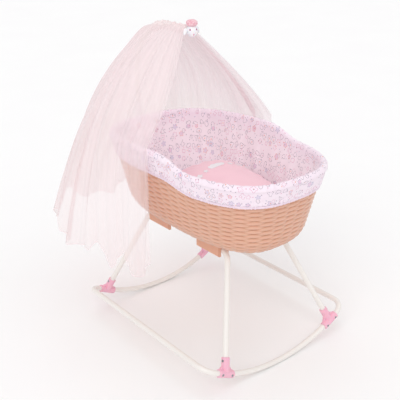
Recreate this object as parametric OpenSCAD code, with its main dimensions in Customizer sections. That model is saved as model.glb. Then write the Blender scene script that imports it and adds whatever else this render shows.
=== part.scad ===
// Toy bassinet: an oval basket with a padded liner, resting on a rocking tube stand,
// with a lift-off canopy pole and veil at its head end.
// Origin: on the floor, midway between the rockers. +X points to the foot end, +Z up.

/* [Stand] */
// Outer diameter of the frame tubes
tube_d = 13; // [11:0.5:15]
// Wall of the frame tubes
tube_wall = 1; // [0.8:0.1:1.5]
// Distance between the two rockers, centre to centre
rocker_gap = 485; // [400:5:600]
// Distance between the two connectors on one rocker
tee_span = 338; // [300:2:400]
// Height of the connectors' centres above the floor
tee_height = 46; // [38:1:56]
// How far each side rail stands out past the connectors' centres
rail_reach = 51.5; // [46:0.5:70]
// Bend radius at the side rails' corners
rail_bend = 32; // [24:1:34]
// Height of the two rests that carry the basket
rest_height = 280; // [230:5:340]
// Distance between the two rests
rest_span = 160; // [140:2:176]
// Distance between the corners of one rest
rest_length = 296; // [280:2:350]
// Bend radius at the rests' corners
rest_bend = 30; // [20:1:36]

/* [Connectors] */
// Length of a connector's body along the rocker
tee_length = 45; // [40:1:54]
// Length of a connector's stub, from the body's axis
tee_stub = 36; // [30:1:46]
// Wall of the connectors
tee_wall = 2.8; // [2.4:0.1:4]
// Diameter of the screws' shanks
screw_d = 3; // [2.5:0.1:3.5]

/* [Basket] */
// Length of the basket at its rim
basket_length = 564; // [470:2:680]
// Width of the basket at its rim
basket_width = 340; // [320:2:410]
// Wall of the basket
basket_wall = 3; // [2:0.5:4]
// Floor of the basket
basket_floor = 4; // [3.5:0.5:6]
// Height of the rim above the basket's underside, at the foot end
rim_height = 182; // [150:2:220]
// How much higher the rim is in the middle
rim_rise = 22; // [0:1:30]
// How far the wall leans in from rim to floor
wall_lean = 43; // [20:1:50]
// Radius between wall and floor
basket_corner = 42; // [30:1:46]
// Squareness of the plan, where 2 is an ellipse
plan_power = 2.9; // [2.2:0.1:4]
// Distance from the basket's middle to each saddle's middle
saddle_offset = 94; // [70:1:104]
// Length of a saddle
saddle_length = 78; // [50:1:80]

/* [Soft parts] */
// Thickness of the padded band outside the rim
band_thickness = 5; // [3:0.5:8]
// Height of the padded roll above the basket's edge
roll_height = 7; // [4:0.5:10]
// How far the band hangs down outside
band_drop = 47; // [30:1:70]
// Thickness of the liner inside the basket
liner_thickness = 3; // [2:0.5:5]
// Thickness of the mattress
mattress_thickness = 36; // [20:1:50]
// Length of the quilt
quilt_length = 310; // [220:5:320]
// Thickness of the quilt in its middle
quilt_thickness = 88; // [40:1:95]

/* [Canopy] */
// Outer diameter of the canopy pole
pole_d = 11; // [9:0.5:12]
// Height of the pole's horizontal arm above the floor
arm_height = 733; // [700:1:760]
// Radius of the pole's bend
pole_bend = 140; // [100:2:150]
// Length of the arm past the bend
arm_length = 84; // [60:1:100]
// How deep the pole sits in its socket
socket_depth = 70; // [50:1:80]
// Room between the folded band of the liner and the veil, on each side
veil_gap = 14.7; // [12:0.1:50]
// How far the veil flares past the basket's head end, at its hem
veil_flare = 208; // [150:2:230]
// Height of the veil's hem above the floor
hem_height = 205; // [180:5:250]
// Thickness of the veil
veil_thickness = 1.2; // [0.8:0.1:2]

/* [Hidden] */
$fn = 48;

tube_white = [0.94, 0.92, 0.90];
connector_pink = [0.96, 0.76, 0.83];
screw_steel = [0.72, 0.72, 0.74];
basket_peach = [0.89, 0.68, 0.58];
liner_lilac = [0.98, 0.92, 0.96];
elastic_lilac = [0.94, 0.86, 0.93];
mattress_white = [0.97, 0.95, 0.94];
quilt_pink = [0.97, 0.81, 0.85];
veil_pink = [0.93, 0.86, 0.88, 0.5];
header_peach = [0.97, 0.84, 0.82];
sheep_white = [0.96, 0.96, 0.97];
sheep_pink = [0.94, 0.75, 0.80];
eye_magenta = [0.68, 0.28, 0.50];

// Gaps between parts
socket_gap = 0.1;
running_gap = 0.3;
thread_gap = 0.05;
cut_past = 1;

// How much thicker a tube's bends are, on each face, and how far its straights reach into them
bend_swell = 0.03;
bend_lap = 0.5;

// Rocker: an arc that touches the floor and passes through both connectors
rocker_drop = tee_height - tube_d / 2;
rocker_radius = (pow(tee_span / 2, 2) + pow(rocker_drop, 2)) / (2 * rocker_drop);
rocker_slope = asin(tee_span / 2 / rocker_radius);

// Connector
tee_outer_d = tube_d + 2 * (socket_gap + tee_wall);
tee_core = 8;
tee_round = 1.2;
tee_stub_stop = tee_outer_d / 2 + 1;
tee_screw_offset = 15;
tee_web = 10;
tee_web_thickness = 5;
screw_head_d = 6;
screw_head_height = 1.4;
screw_reach = 7;

// Basket
saddle_roof = 2.7;
floor_z = rest_height + tube_d / 2 + running_gap + saddle_roof;
plan_a = basket_length / 2;
plan_b = basket_width / 2;
head_fall = 16;
rise_start_x = 20;
rise_end_x = 120;
level_height = basket_corner + 20;
around = 72;

// Saddles
saddle_cheek = 9;
saddle_skirt = 8;
saddle_overlap = 12;
saddle_width = tube_d + 2 * saddle_cheek;
saddle_bottom_z = rest_height - tube_d / 2 - saddle_skirt;
saddle_round = 5;
saddle_screw_x = 26;
saddle_screw_side = 4.1;
saddle_screw_y = tube_d / 2 + running_gap + saddle_screw_side;
saddle_screw_recess = 12;
saddle_screw_head_d = 5;
saddle_screw_head_height = 2;
saddle_screw_bite = 3.2;

// Canopy
pole_standoff = 7.2;
pole_x = -(plan_a + running_gap + band_thickness + pole_d / 2 + pole_standoff);
pole_wall = 1;
socket_wall = 4;
socket_lift = 60;
socket_bottom_z = floor_z + socket_lift;
socket_top_z = socket_bottom_z + socket_wall + socket_depth;
bracket_low_rise = 18;
bracket_high_rise = 62;
bracket_low_z = socket_bottom_z + bracket_low_rise;
bracket_high_z = socket_bottom_z + bracket_high_rise;
bracket_half_width = 23;
bracket_arm_half_width = 8;
bracket_screw_y = 16;
bracket_screw_z = (bracket_low_z + bracket_high_z) / 2;
bracket_screw_bite = 2.5;
bracket_depth = 13;
ferrule_rise = 76.5;
ferrule_z = socket_top_z + ferrule_rise;
ferrule_length = 40;
ferrule_core = 3;
ferrule_wall = 2;
arm_start_x = pole_x + pole_bend;
arm_end_x = arm_start_x + arm_length;
header_radius = 9;
header_turn = 28;
header_short = 12;

// Veil
veil_columns = 56;
veil_rows = 14;
veil_width = basket_width + 2 * (running_gap + band_thickness + veil_gap);
veil_top_half = 12;
veil_top_lift = 2;
veil_top_front_x = arm_end_x - 8;
veil_top_head_x = arm_start_x - 92;
veil_top_fall = 24;
veil_rim_ease = 0.5;
veil_rim_drop = arm_height + veil_top_lift + veil_rim_ease
    - (floor_z + rim_height + rim_rise + roll_height);
veil_rim_reach = 120;
veil_side_setback = 92;
veil_side_swell = 38;
veil_front_swell = 4;
veil_head_lift = 18;
veil_front_x = 5;
scallop_depth = 26;
scallops = 4.5;

// Sheep at the end of the arm
sheep_x = arm_end_x + 7;
sheep_z = arm_height + 2;
sheep_head_r = 13;

// ---- Vectors and placing ----

function unit(v) = v / norm(v);
function mix(a, b, s) = a + (b - a) * s;
function clamp01(s) = min(max(s, 0), 1);
function smooth01(s) = clamp01(s) * clamp01(s) * (3 - 2 * clamp01(s));

// Turns +Z to the direction d and moves to p
module along(p, d) {
    translate(p)
        rotate([0, acos(d.z / norm(d)), atan2(d.y, d.x)])
            children();
}

// A bar along +Z with rounded edges at both ends
module bar(length, d, round) {
    rotate_extrude() {
        square([d / 2 - round, length]);
        translate([0, round])
            square([d / 2, length - 2 * round]);
        translate([d / 2 - round, round])
            intersection() {
                circle(round);
                translate([0, -round])
                    square(2 * round);
            }
        translate([d / 2 - round, length - round])
            intersection() {
                circle(round);
                translate([0, -round])
                    square(2 * round);
            }
    }
}

// A rectangle with four round corners, centred
module round_rectangle(w, h, r) {
    square([w - 2 * r, h], center = true);
    square([w, h - 2 * r], center = true);
    for (sx = [-1, 1])
        for (sy = [-1, 1])
            translate([sx * (w / 2 - r), sy * (h / 2 - r)])
                circle(r);
}

// ---- Bent tubes ----

module tube_section(d, wall) {
    difference() {
        circle(d = d);
        circle(d = d - 2 * wall);
    }
}

// Sweeps a flat section along an arc that starts at centre + from * radius and heads towards
// the unit vector heading
module arc_sweep(centre, from, heading, radius, turn) {
    side = cross(from, heading);
    multmatrix([[from.x, heading.x, side.x, centre.x],
                [from.y, heading.y, side.y, centre.y],
                [from.z, heading.z, side.z, centre.z],
                [0, 0, 0, 1]])
        rotate_extrude(angle = turn)
            translate([radius, 0])
                children();
}

// A tube along straight lines between the points, with one bend radius at every corner
module tube_path(points, bend, d, wall) {
    last = len(points) - 1;
    ways = [for (i = [0:last - 1]) unit(points[i + 1] - points[i])];
    turns = [for (i = [0:last]) i == 0 || i == last ? 0 : acos(ways[i - 1] * ways[i])];
    trims = [for (turn = turns) bend * tan(turn / 2)];
    for (i = [0:last - 1]) {
        start_lap = i == 0 ? 0 : bend_lap;
        end_lap = i == last - 1 ? 0 : bend_lap;
        along(points[i] + ways[i] * (trims[i] - start_lap), ways[i])
            linear_extrude(norm(points[i + 1] - points[i]) - trims[i] - trims[i + 1] + start_lap + end_lap)
                tube_section(d, wall);
    }
    for (i = [1:last - 1]) {
        inward = unit(ways[i] - ways[i - 1] * (ways[i] * ways[i - 1]));
        centre = points[i] - ways[i - 1] * trims[i] + inward * bend;
        arc_sweep(centre, -inward, ways[i - 1], bend, turns[i])
            tube_section(d + 2 * bend_swell, wall + 2 * bend_swell);
    }
}

// ---- Screws ----

// A screw whose head's underside is at the origin and whose shank runs along -Z
module screw(shank_d, reach, head_d, head_height) {
    slot_width = shank_d / 4;
    difference() {
        cylinder(h = head_height, d = head_d);
        for (turn = [0, 90])
            rotate(turn)
                translate([-head_d * 0.3, -slot_width / 2, head_height * 0.4])
                    cube([head_d * 0.6, slot_width, head_height]);
    }
    translate([0, 0, -reach])
        cylinder(h = reach, d = shank_d);
}

// ---- Stand ----
// sx is -1 at the head end and 1 at the foot end; sy is -1 at the near side and 1 at the far side

function tee_centre(sx, sy) = [sx * rocker_gap / 2, sy * tee_span / 2, tee_height];
function tee_way(sy) = [0, sy * cos(rocker_slope), sin(rocker_slope)];
function rest_corner(sx, sy) = [sx * rest_length / 2, sy * rest_span / 2, rest_height];
function leg_way(sx, sy) = unit(rest_corner(sx, sy) - tee_centre(sx, sy));

// The stub's screw faces out from the stand's side
function stub_screw_way(sx, sy) = unit(tee_way(sy) - leg_way(sx, sy) * (tee_way(sy) * leg_way(sx, sy)));
function stub_screw_point(sx, sy) = tee_centre(sx, sy) + leg_way(sx, sy) * (tee_stub - 8);

// Distance from a tube's axis to the underside of a screw head sunk in its connector
screw_seat = tee_outer_d / 2 - screw_head_height;

// Places children at each body screw of one connector, head outward along +Z
module at_body_screws(sx, sy) {
    for (side = [-1, 1])
        along(tee_centre(sx, sy) + tee_way(sy) * side * tee_screw_offset + [sx * screw_seat, 0, 0], [sx, 0, 0])
            children();
}

// Places children at the stub screw of one connector
module at_stub_screw(sx, sy) {
    along(stub_screw_point(sx, sy) + stub_screw_way(sx, sy) * screw_seat, stub_screw_way(sx, sy))
        children();
}

// The hole that a screw's shank needs, inward from its seat
module pilot_hole() {
    translate([0, 0, -screw_reach - cut_past])
        cylinder(h = screw_reach + cut_past, d = screw_d + 2 * thread_gap);
}

// Sweeps a section along part of the rocker's arc, from one slope to another, in degrees
module along_rocker(sx, from_slope, to_slope) {
    arc_sweep([sx * rocker_gap / 2, 0, tube_d / 2 + rocker_radius], [0, sin(from_slope), -cos(from_slope)],
        [0, cos(from_slope), sin(from_slope)], rocker_radius, to_slope - from_slope)
        children();
}

// The slope that a length along the rocker's arc takes up, in degrees
function arc_turn(length) = length / rocker_radius * 180 / PI;

module rocker(sx) {
    end_slope = rocker_slope - arc_turn(tee_core / 2);
    color(tube_white)
        difference() {
            along_rocker(sx, -end_slope, end_slope)
                tube_section(tube_d, tube_wall);
            for (sy = [-1, 1])
                at_body_screws(sx, sy)
                    pilot_hole();
        }
}

module side_rail(sy) {
    corner_run = rail_reach / cos(rocker_slope);
    color(tube_white)
        difference() {
            tube_path([tee_centre(-1, sy) + tee_way(sy) * tee_core / 2,
                tee_centre(-1, sy) + tee_way(sy) * corner_run,
                tee_centre(1, sy) + tee_way(sy) * corner_run,
                tee_centre(1, sy) + tee_way(sy) * tee_core / 2], rail_bend, tube_d, tube_wall);
            for (sx = [-1, 1])
                at_body_screws(sx, sy)
                    pilot_hole();
        }
}

module leg_frame(sy) {
    color(tube_white)
        difference() {
            tube_path([tee_centre(-1, sy) + leg_way(-1, sy) * tee_stub_stop, rest_corner(-1, sy),
                rest_corner(1, sy), tee_centre(1, sy) + leg_way(1, sy) * tee_stub_stop],
                rest_bend, tube_d, tube_wall);
            for (sx = [-1, 1])
                at_stub_screw(sx, sy)
                    pilot_hole();
        }
}

// The sunken place for a screw in a connector's wall
module screw_pocket() {
    cylinder(h = tee_outer_d, d = screw_head_d + 2 * socket_gap);
    translate([0, 0, -tee_wall])
        cylinder(h = tee_wall + cut_past, d = screw_d + 2 * socket_gap);
}

module tee(sx, sy) {
    centre = tee_centre(sx, sy);
    way = tee_way(sy);
    leg = leg_way(sx, sy);
    bore = tube_d + 2 * socket_gap;
    web_side = cross(way, leg);
    color(connector_pink)
        difference() {
            union() {
                along(centre - way * tee_length / 2, way)
                    bar(tee_length, tee_outer_d, tee_round);
                along(centre, leg)
                    bar(tee_stub, tee_outer_d, tee_round);
                // Web that stiffens the corners between body and stub
                multmatrix([[way.x, leg.x, web_side.x, centre.x],
                            [way.y, leg.y, web_side.y, centre.y],
                            [way.z, leg.z, web_side.z, centre.z],
                            [0, 0, 0, 1]])
                    translate([0, 0, -tee_web_thickness / 2])
                        linear_extrude(tee_web_thickness)
                            polygon([[-tee_outer_d / 2 - tee_web, tee_outer_d / 2 - tee_round],
                                [tee_outer_d / 2 + tee_web, tee_outer_d / 2 - tee_round],
                                [tee_outer_d / 2 - tee_round, tee_outer_d / 2 + tee_web],
                                [tee_round - tee_outer_d / 2, tee_outer_d / 2 + tee_web]]);
            }
            // Sockets for the side rail, the rocker and the leg
            along(centre + way * tee_core / 2, way)
                cylinder(h = tee_length, d = bore);
            rotate(sy > 0 ? 0 : 180)
                along_rocker(sx * sy, rocker_slope - arc_turn(tee_length), rocker_slope - arc_turn(tee_core / 2))
                    circle(d = bore);
            along(centre + leg * tee_stub_stop, leg)
                cylinder(h = tee_stub, d = bore);
            at_body_screws(sx, sy)
                screw_pocket();
            at_stub_screw(sx, sy)
                screw_pocket();
        }
}

module tee_body_screws() {
    color(screw_steel)
        for (sx = [-1, 1])
            for (sy = [-1, 1])
                at_body_screws(sx, sy)
                    screw(screw_d, screw_reach, screw_head_d, screw_head_height);
}

module tee_stub_screws() {
    color(screw_steel)
        for (sx = [-1, 1])
            for (sy = [-1, 1])
                at_stub_screw(sx, sy)
                    screw(screw_d, screw_reach, screw_head_d, screw_head_height);
}

// ---- Lofted solids ----

// A closed solid through a list of rings that all have the same number of points.
// The first and last rings are flat and are closed by caps.
module loft(rings) {
    count = len(rings[0]);
    last = len(rings) - 1;
    sides = [for (i = [0:last - 1]) for (j = [0:count - 1]) let (k = (j + 1) % count)
        each [[i * count + j, (i + 1) * count + k, i * count + k],
              [i * count + j, (i + 1) * count + j, (i + 1) * count + k]]];
    polyhedron(points = [for (ring = rings) each ring],
        faces = concat([[for (j = [0:count - 1]) j]], sides,
            [[for (j = [count - 1:-1:0]) last * count + j]]));
}

// Point of a superellipse with half axes a and b
function signed_power(v, p) = sign(v) * pow(abs(v), p);
function plan_point(a, b, power, turn) = [a * signed_power(cos(turn), 2 / power),
    b * signed_power(sin(turn), 2 / power)];

// Height of the basket's edge: level at the foot end, higher in the middle, falling to the head
function edge_z(x) = floor_z + rim_height
    + rim_rise * smooth01((rise_end_x - x) / (rise_end_x - rise_start_x))
    - head_fall * pow(clamp01(-x / plan_a), 1.3);

// One ring of the basket: inset from the outer wall's outline at the rim, and nominal height.
// The rise of the rim fades out down the wall, so the rings near the floor are level.
function basket_ring(inset, h) = [for (i = [0:around - 1])
    let (p = plan_point(plan_a - inset, plan_b - inset, plan_power, i * 360 / around),
        rise = edge_z(p.x) - floor_z - rim_height)
    [p.x, p.y, floor_z + h + rise * clamp01((h - level_height) / (rim_height - level_height))]];

// How far the wall has leaned in at a nominal height
function lean(h) = wall_lean * (1 - h / rim_height);

// Section of the surface that lies a depth inside the wall and a lift above the underside,
// from the floor up round the corner, as [inset, height] pairs
corner_steps = 6;
function corner_section(depth, lift) = let (radius = basket_corner - max(depth, lift))
    [for (i = [0:corner_steps]) let (h = lift + radius * (1 - cos(i * 90 / corner_steps)))
        [lean(h) + depth + radius * (1 - sin(i * 90 / corner_steps)), h]];

// Section of the wall above the corner, at the heights where every part of the wall has a ring
wall_heights = [100, 150];
function wall_section(depth, low, high) = [for (h = wall_heights)
    if (h > low && h < high) [lean(h) + depth, h]];

function rings_of(section) = [for (s = section) basket_ring(s[0], s[1])];
function reversed(list) = [for (i = [len(list) - 1:-1:0]) list[i]];

// The whole outside of the basket, grown by a gap, as a solid block
module basket_block(gap) {
    loft(rings_of(concat(corner_section(-gap, -gap), [[-gap, rim_height]])));
}

module basket_shell() {
    edge_round = basket_wall / 3;
    edge_h = rim_height - edge_round;
    outside = concat(corner_section(0, 0), wall_section(0, basket_corner, rim_height),
        [[lean(edge_h), edge_h]]);
    edge = [[edge_round, rim_height], [basket_wall - edge_round, rim_height]];
    inside = concat([[lean(edge_h) + basket_wall, edge_h]],
        reversed(wall_section(basket_wall, basket_corner, rim_height)),
        reversed(corner_section(basket_wall, basket_floor)));
    color(basket_peach)
        difference() {
            loft(rings_of(concat(outside, edge, inside)));
            for (sx = [-1, 1])
                for (sy = [-1, 1])
                    at_saddle_screws(sx, sy)
                        cylinder(h = saddle_screw_bite + running_gap, d = screw_d + 2 * thread_gap);
            at_bracket_screws()
                translate([0, 0, -bracket_screw_length - thread_gap])
                    cylinder(h = bracket_screw_length, d = screw_d + 2 * thread_gap);
        }
}

// ---- Saddles under the basket ----

// Places children on the basket's underside at each screw of one saddle
module at_saddle_screws(sx, sy) {
    for (side = [-1, 1])
        translate([sx * saddle_offset + side * saddle_screw_x, sy * (rest_span / 2 - saddle_screw_y),
            floor_z])
            children();
}

module saddle(sx, sy) {
    full_height = floor_z + basket_corner - saddle_bottom_z;
    bore = tube_d + 2 * running_gap;
    color(basket_peach)
        difference() {
            translate([sx * saddle_offset - saddle_length / 2, sy * rest_span / 2, saddle_bottom_z])
                rotate([90, 0, 90])
                    linear_extrude(saddle_length)
                        intersection() {
                            translate([0, full_height / 2])
                                round_rectangle(saddle_width, full_height, saddle_round);
                            translate([-saddle_width / 2, 0])
                                square([saddle_width, floor_z + saddle_overlap - saddle_bottom_z]);
                        }
            // Slot that drops over the rest
            translate([sx * saddle_offset - saddle_length / 2 - cut_past, sy * rest_span / 2, rest_height])
                rotate([0, 90, 0])
                    cylinder(h = saddle_length + 2 * cut_past, d = bore);
            translate([sx * saddle_offset - saddle_length / 2 - cut_past, sy * rest_span / 2 - bore / 2,
                saddle_bottom_z - cut_past])
                cube([saddle_length + 2 * cut_past, bore, rest_height - saddle_bottom_z + cut_past]);
            basket_block(socket_gap);
            at_saddle_screws(sx, sy) {
                translate([0, 0, saddle_bottom_z - floor_z - cut_past])
                    cylinder(h = saddle_screw_recess + cut_past, d = saddle_screw_head_d + 2 * socket_gap);
                translate([0, 0, saddle_bottom_z - floor_z])
                    cylinder(h = floor_z - saddle_bottom_z + cut_past, d = screw_d + 2 * socket_gap);
            }
        }
}

module saddle_screws() {
    head_z = saddle_bottom_z + saddle_screw_recess - floor_z;
    color(screw_steel)
        for (sx = [-1, 1])
            for (sy = [-1, 1])
                at_saddle_screws(sx, sy)
                    translate([0, 0, head_z])
                        mirror([0, 0, 1])
                            screw(screw_d, saddle_screw_bite - head_z, saddle_screw_head_d, saddle_screw_head_height);
}

// ---- Socket for the canopy pole ----

// The bracket's flat outer face, and how far its screws reach in from there
wall_x_at_screws = -plan_a + lean(bracket_screw_z - floor_z);
bracket_face_x = wall_x_at_screws - bracket_depth;
bracket_screw_length = wall_x_at_screws - bracket_face_x + bracket_screw_bite;

// Places children on the bracket's outer face at its two screws, outward along +Z
module at_bracket_screws() {
    for (side = [-1, 1])
        along([bracket_face_x, side * bracket_screw_y, bracket_screw_z], [-1, 0, 0])
            children();
}

module pole_socket() {
    sleeve_d = pole_d + 2 * (socket_gap + socket_wall);
    color(basket_peach)
        difference() {
            union() {
                translate([pole_x, 0, socket_bottom_z])
                    bar(socket_top_z - socket_bottom_z, sleeve_d, tee_round);
                translate([bracket_face_x, -bracket_half_width, bracket_low_z])
                    cube([plan_a / 4, 2 * bracket_half_width, bracket_high_z - bracket_low_z]);
                translate([pole_x, -bracket_arm_half_width, bracket_low_z])
                    cube([bracket_face_x - pole_x + cut_past, 2 * bracket_arm_half_width,
                        bracket_high_z - bracket_low_z]);
            }
            basket_block(socket_gap);
            translate([pole_x, 0, socket_bottom_z + socket_wall])
                cylinder(h = socket_depth + cut_past, d = pole_d + 2 * socket_gap);
            at_bracket_screws()
                translate([0, 0, -plan_a / 4])
                    cylinder(h = plan_a / 4 + cut_past, d = screw_d + 2 * socket_gap);
        }
}

module pole_socket_screws() {
    color(screw_steel)
        at_bracket_screws()
            screw(screw_d, bracket_screw_length, screw_head_d, 2);
}

// ---- Soft parts in the basket ----

liner_depth = basket_wall + running_gap;
liner_face = liner_depth + liner_thickness;
band_face = running_gap + band_thickness;
hem_h = rim_height - band_drop;

module liner() {
    under = concat(corner_section(liner_depth, basket_floor + running_gap),
        wall_section(liner_depth, basket_corner, rim_height), [[liner_depth, rim_height + running_gap]]);
    band_inside = concat([[-running_gap, rim_height + running_gap]],
        reversed(wall_section(-running_gap, hem_h, rim_height)), [[lean(hem_h) - running_gap, hem_h]]);
    band_outside = [[lean(hem_h) - band_face, hem_h], [lean(hem_h + 20) - band_face - 1, hem_h + 20],
        [-band_face, rim_height - 4]];
    roll_mid = (liner_face - band_face) / 2;
    roll_half = (liner_face + band_face) / 2;
    roll = [for (turn = [30, 60, 90, 120, 150])
        [roll_mid - roll_half * cos(turn), rim_height - 4 + (roll_height + 4) * sin(turn)]];
    inside = concat([[liner_face, rim_height - 4]], reversed(wall_section(liner_face, basket_corner, rim_height)),
        reversed(corner_section(liner_face, basket_floor + running_gap + liner_thickness)));
    color(liner_lilac)
        loft(rings_of(concat(under, band_inside, band_outside, roll, inside)));
}

// The gathered elastic edge under the band, closed round the basket
module liner_hem_elastic() {
    top = hem_h - 2.5 * running_gap;
    low = top - 7;
    mid = (top + low) / 2;
    face = band_thickness;
    color(elastic_lilac)
        difference() {
            loft(rings_of([[lean(low) - face + 1, low], [lean(mid) - face, mid], [lean(top) - face + 1, top]]));
            loft(rings_of([[lean(low - 1) - running_gap, low - 1], [lean(top + 1) - running_gap, top + 1]]));
        }
}

mattress_depth = liner_face + running_gap;
mattress_low = basket_floor + liner_thickness + 2 * running_gap;
mattress_top = mattress_low + mattress_thickness;

module mattress() {
    edge_round = mattress_thickness / 4;
    side = [for (s = corner_section(mattress_depth, mattress_low)) if (s[1] < mattress_top - edge_round) s];
    last_inset = side[len(side) - 1][0];
    edge = [for (turn = [0, 30, 60, 90])
        [last_inset + edge_round * (1 - cos(turn)), mattress_top - edge_round * (1 - sin(turn))]];
    color(mattress_white)
        loft(rings_of(concat(side, edge)));
}

quilt_foot_gap = 23;
quilt_side_gap = 11;
quilt_width = basket_width - 2 * (wall_lean + quilt_side_gap);
quilt_x = plan_a - wall_lean - quilt_length / 2 - quilt_foot_gap;
quilt_power = 3;
quilt_edge = 22;
quilt_foot_width = 0.8;
quilt_slope = 0.28;

// One ring of the quilt, scaled about its middle, at a height above the mattress. The quilt is
// narrower and lower towards the foot end.
function quilt_ring(scale, h) = [for (i = [0:around - 1])
    let (p = plan_point(quilt_length / 2 * scale, quilt_width / 2 * scale, quilt_power, i * 360 / around),
        run = p.x / (quilt_length / 2))
    [quilt_x + p.x, p.y * mix(1, quilt_foot_width, (1 + run) / 2),
     mattress_z + running_gap + h * (1 - quilt_slope * run)]];

// Top of the mattress
mattress_z = floor_z + mattress_top;

module quilt() {
    crown = [1, 0.985, 0.94, 0.86, 0.74, 0.58, 0.38, 0.12];
    color(quilt_pink)
        loft(concat([quilt_ring(0.93, 0), quilt_ring(0.985, quilt_edge / 3)],
            [for (s = crown) quilt_ring(s, mix(quilt_edge, quilt_thickness, sqrt(1 - s * s)))]));
}

// ---- Canopy ----

module pole_lower() {
    start_z = socket_bottom_z + socket_wall + running_gap;
    color(tube_white)
        translate([pole_x, 0, start_z])
            linear_extrude(ferrule_z - ferrule_core / 2 - start_z)
                tube_section(pole_d, pole_wall);
}

module pole_ferrule() {
    bore = pole_d + 2 * socket_gap;
    color(tube_white)
        difference() {
            translate([pole_x, 0, ferrule_z - ferrule_length / 2])
                bar(ferrule_length, bore + 2 * ferrule_wall, ferrule_wall / 2);
            translate([pole_x, 0, ferrule_z + ferrule_core / 2])
                cylinder(h = ferrule_length, d = bore);
            translate([pole_x, 0, ferrule_z - ferrule_core / 2 - ferrule_length])
                cylinder(h = ferrule_length, d = bore);
        }
}

module pole_upper() {
    color(tube_white)
        tube_path([[pole_x, 0, ferrule_z + ferrule_core / 2], [pole_x, 0, arm_height],
            [arm_end_x, 0, arm_height]], pole_bend, pole_d, pole_wall);
}

// Gathered sleeve of the veil, drawn over the pole's arm
module veil_header() {
    hollow = pole_d / 2 + running_gap;
    color(header_peach) {
        along([arm_start_x - bend_lap, 0, arm_height], [1, 0, 0])
            linear_extrude(arm_length - header_short + bend_lap)
                tube_section(2 * header_radius, header_radius - hollow);
        arc_sweep([arm_start_x, 0, arm_height - pole_bend], [-sin(header_turn), 0, cos(header_turn)],
            [cos(header_turn), 0, sin(header_turn)], pole_bend, header_turn)
            tube_section(2 * (header_radius + bend_swell), header_radius - hollow + 2 * bend_swell);
    }
}

// Veil: a tent that is open at its front. across runs from -1 at the near front edge, through 0
// at the head end, to 1 at the far front edge. drop is 0 at the top and 1 at the basket's rim.
veil_full_drop = arm_height - hem_height;
veil_low_drop = veil_full_drop / veil_rim_drop - 1;
function veil_low(drop) = clamp01((drop - 1) / veil_low_drop);
function veil_middle_x(drop) = mix((veil_top_front_x + veil_top_head_x) / 2, veil_side_setback - plan_a,
    clamp01(drop));
function veil_head_x(drop) = veil_top_head_x - veil_rim_reach * pow(clamp01(drop), 0.66)
    - (plan_a + veil_flare + veil_top_head_x - veil_rim_reach) * pow(veil_low(drop), 0.85);
function veil_front(drop) = mix(veil_top_front_x, veil_front_x, sin(90 * clamp01(drop)));
function veil_rim_half(drop) = mix(veil_top_half, veil_width / 2, pow(clamp01(drop), 0.7));
function veil_half(drop) = veil_rim_half(drop) + veil_side_swell * veil_low(drop);
function veil_front_half(drop) = veil_rim_half(drop) + veil_front_swell * veil_low(drop);

function veil_plan(across, drop, inset) =
    let (k = abs(across), side = sign(across), run = (k - 0.5) * 2, turn = 180 * k,
        power = mix(2.2, 3.2, clamp01(drop)), middle = veil_middle_x(drop), half = veil_half(drop) - inset)
    k >= 0.5
        ? [mix(middle, veil_front(drop), run), side * mix(half, veil_front_half(drop) - inset, run)]
        : [middle - (middle - veil_head_x(drop) - inset) * pow(cos(turn), 2 / power),
           side * half * pow(sin(turn), 2 / power)];

function veil_top_z(across) = arm_height + veil_top_lift - veil_top_fall * pow(1 - abs(across), 2);
function veil_hem_z(across) = hem_height - scallop_depth * cos(360 * scallops * across)
    + veil_head_lift * pow(1 - abs(across), 2);
function veil_point(across, fall, inset) =
    let (p = veil_plan(across, fall * veil_full_drop / veil_rim_drop, inset))
    [p.x, p.y, mix(veil_top_z(across), veil_hem_z(across), fall)];

module veil() {
    steps = veil_columns;
    ring = 2 * (steps + 1);
    points = [for (i = [0:veil_rows]) let (fall = i / veil_rows)
        each concat([for (j = [0:steps]) veil_point(2 * j / steps - 1, fall, 0)],
            [for (j = [steps:-1:0]) veil_point(2 * j / steps - 1, fall, veil_thickness)])];
    walls = [for (i = [0:veil_rows - 1]) for (j = [0:ring - 1]) let (k = (j + 1) % ring)
        each [[i * ring + j, (i + 1) * ring + k, i * ring + k],
              [i * ring + j, (i + 1) * ring + j, (i + 1) * ring + k]]];
    // The top and bottom edges are strips between the outer and inner faces
    top = [for (j = [0:steps - 1])
        each [[j, j + 1, ring - 2 - j], [j, ring - 2 - j, ring - 1 - j]]];
    first = veil_rows * ring;
    hem = [for (j = [0:steps - 1])
        each [[first + j, first + ring - 2 - j, first + j + 1], [first + j, first + ring - 1 - j, first + ring - 2 - j]]];
    color(veil_pink)
        polyhedron(points = points, faces = concat(walls, top, hem));
}

// ---- Sheep finial, facing +X ----

sheep_eye_y = 6;
sheep_eye_z = 1;
sheep_pin_d = 3.2;

// Places children at each eye, outward along +Z
module at_sheep_eyes() {
    for (side = [-1, 1])
        along([sheep_x + 8.6, side * sheep_eye_y, sheep_z + sheep_eye_z], [1, side * 0.45, 0.1])
            children();
}

module at_sheep_nose() {
    along([sheep_x + 10.5, 0, sheep_z - 9], [1, 0, -0.35])
        children();
}

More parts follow.
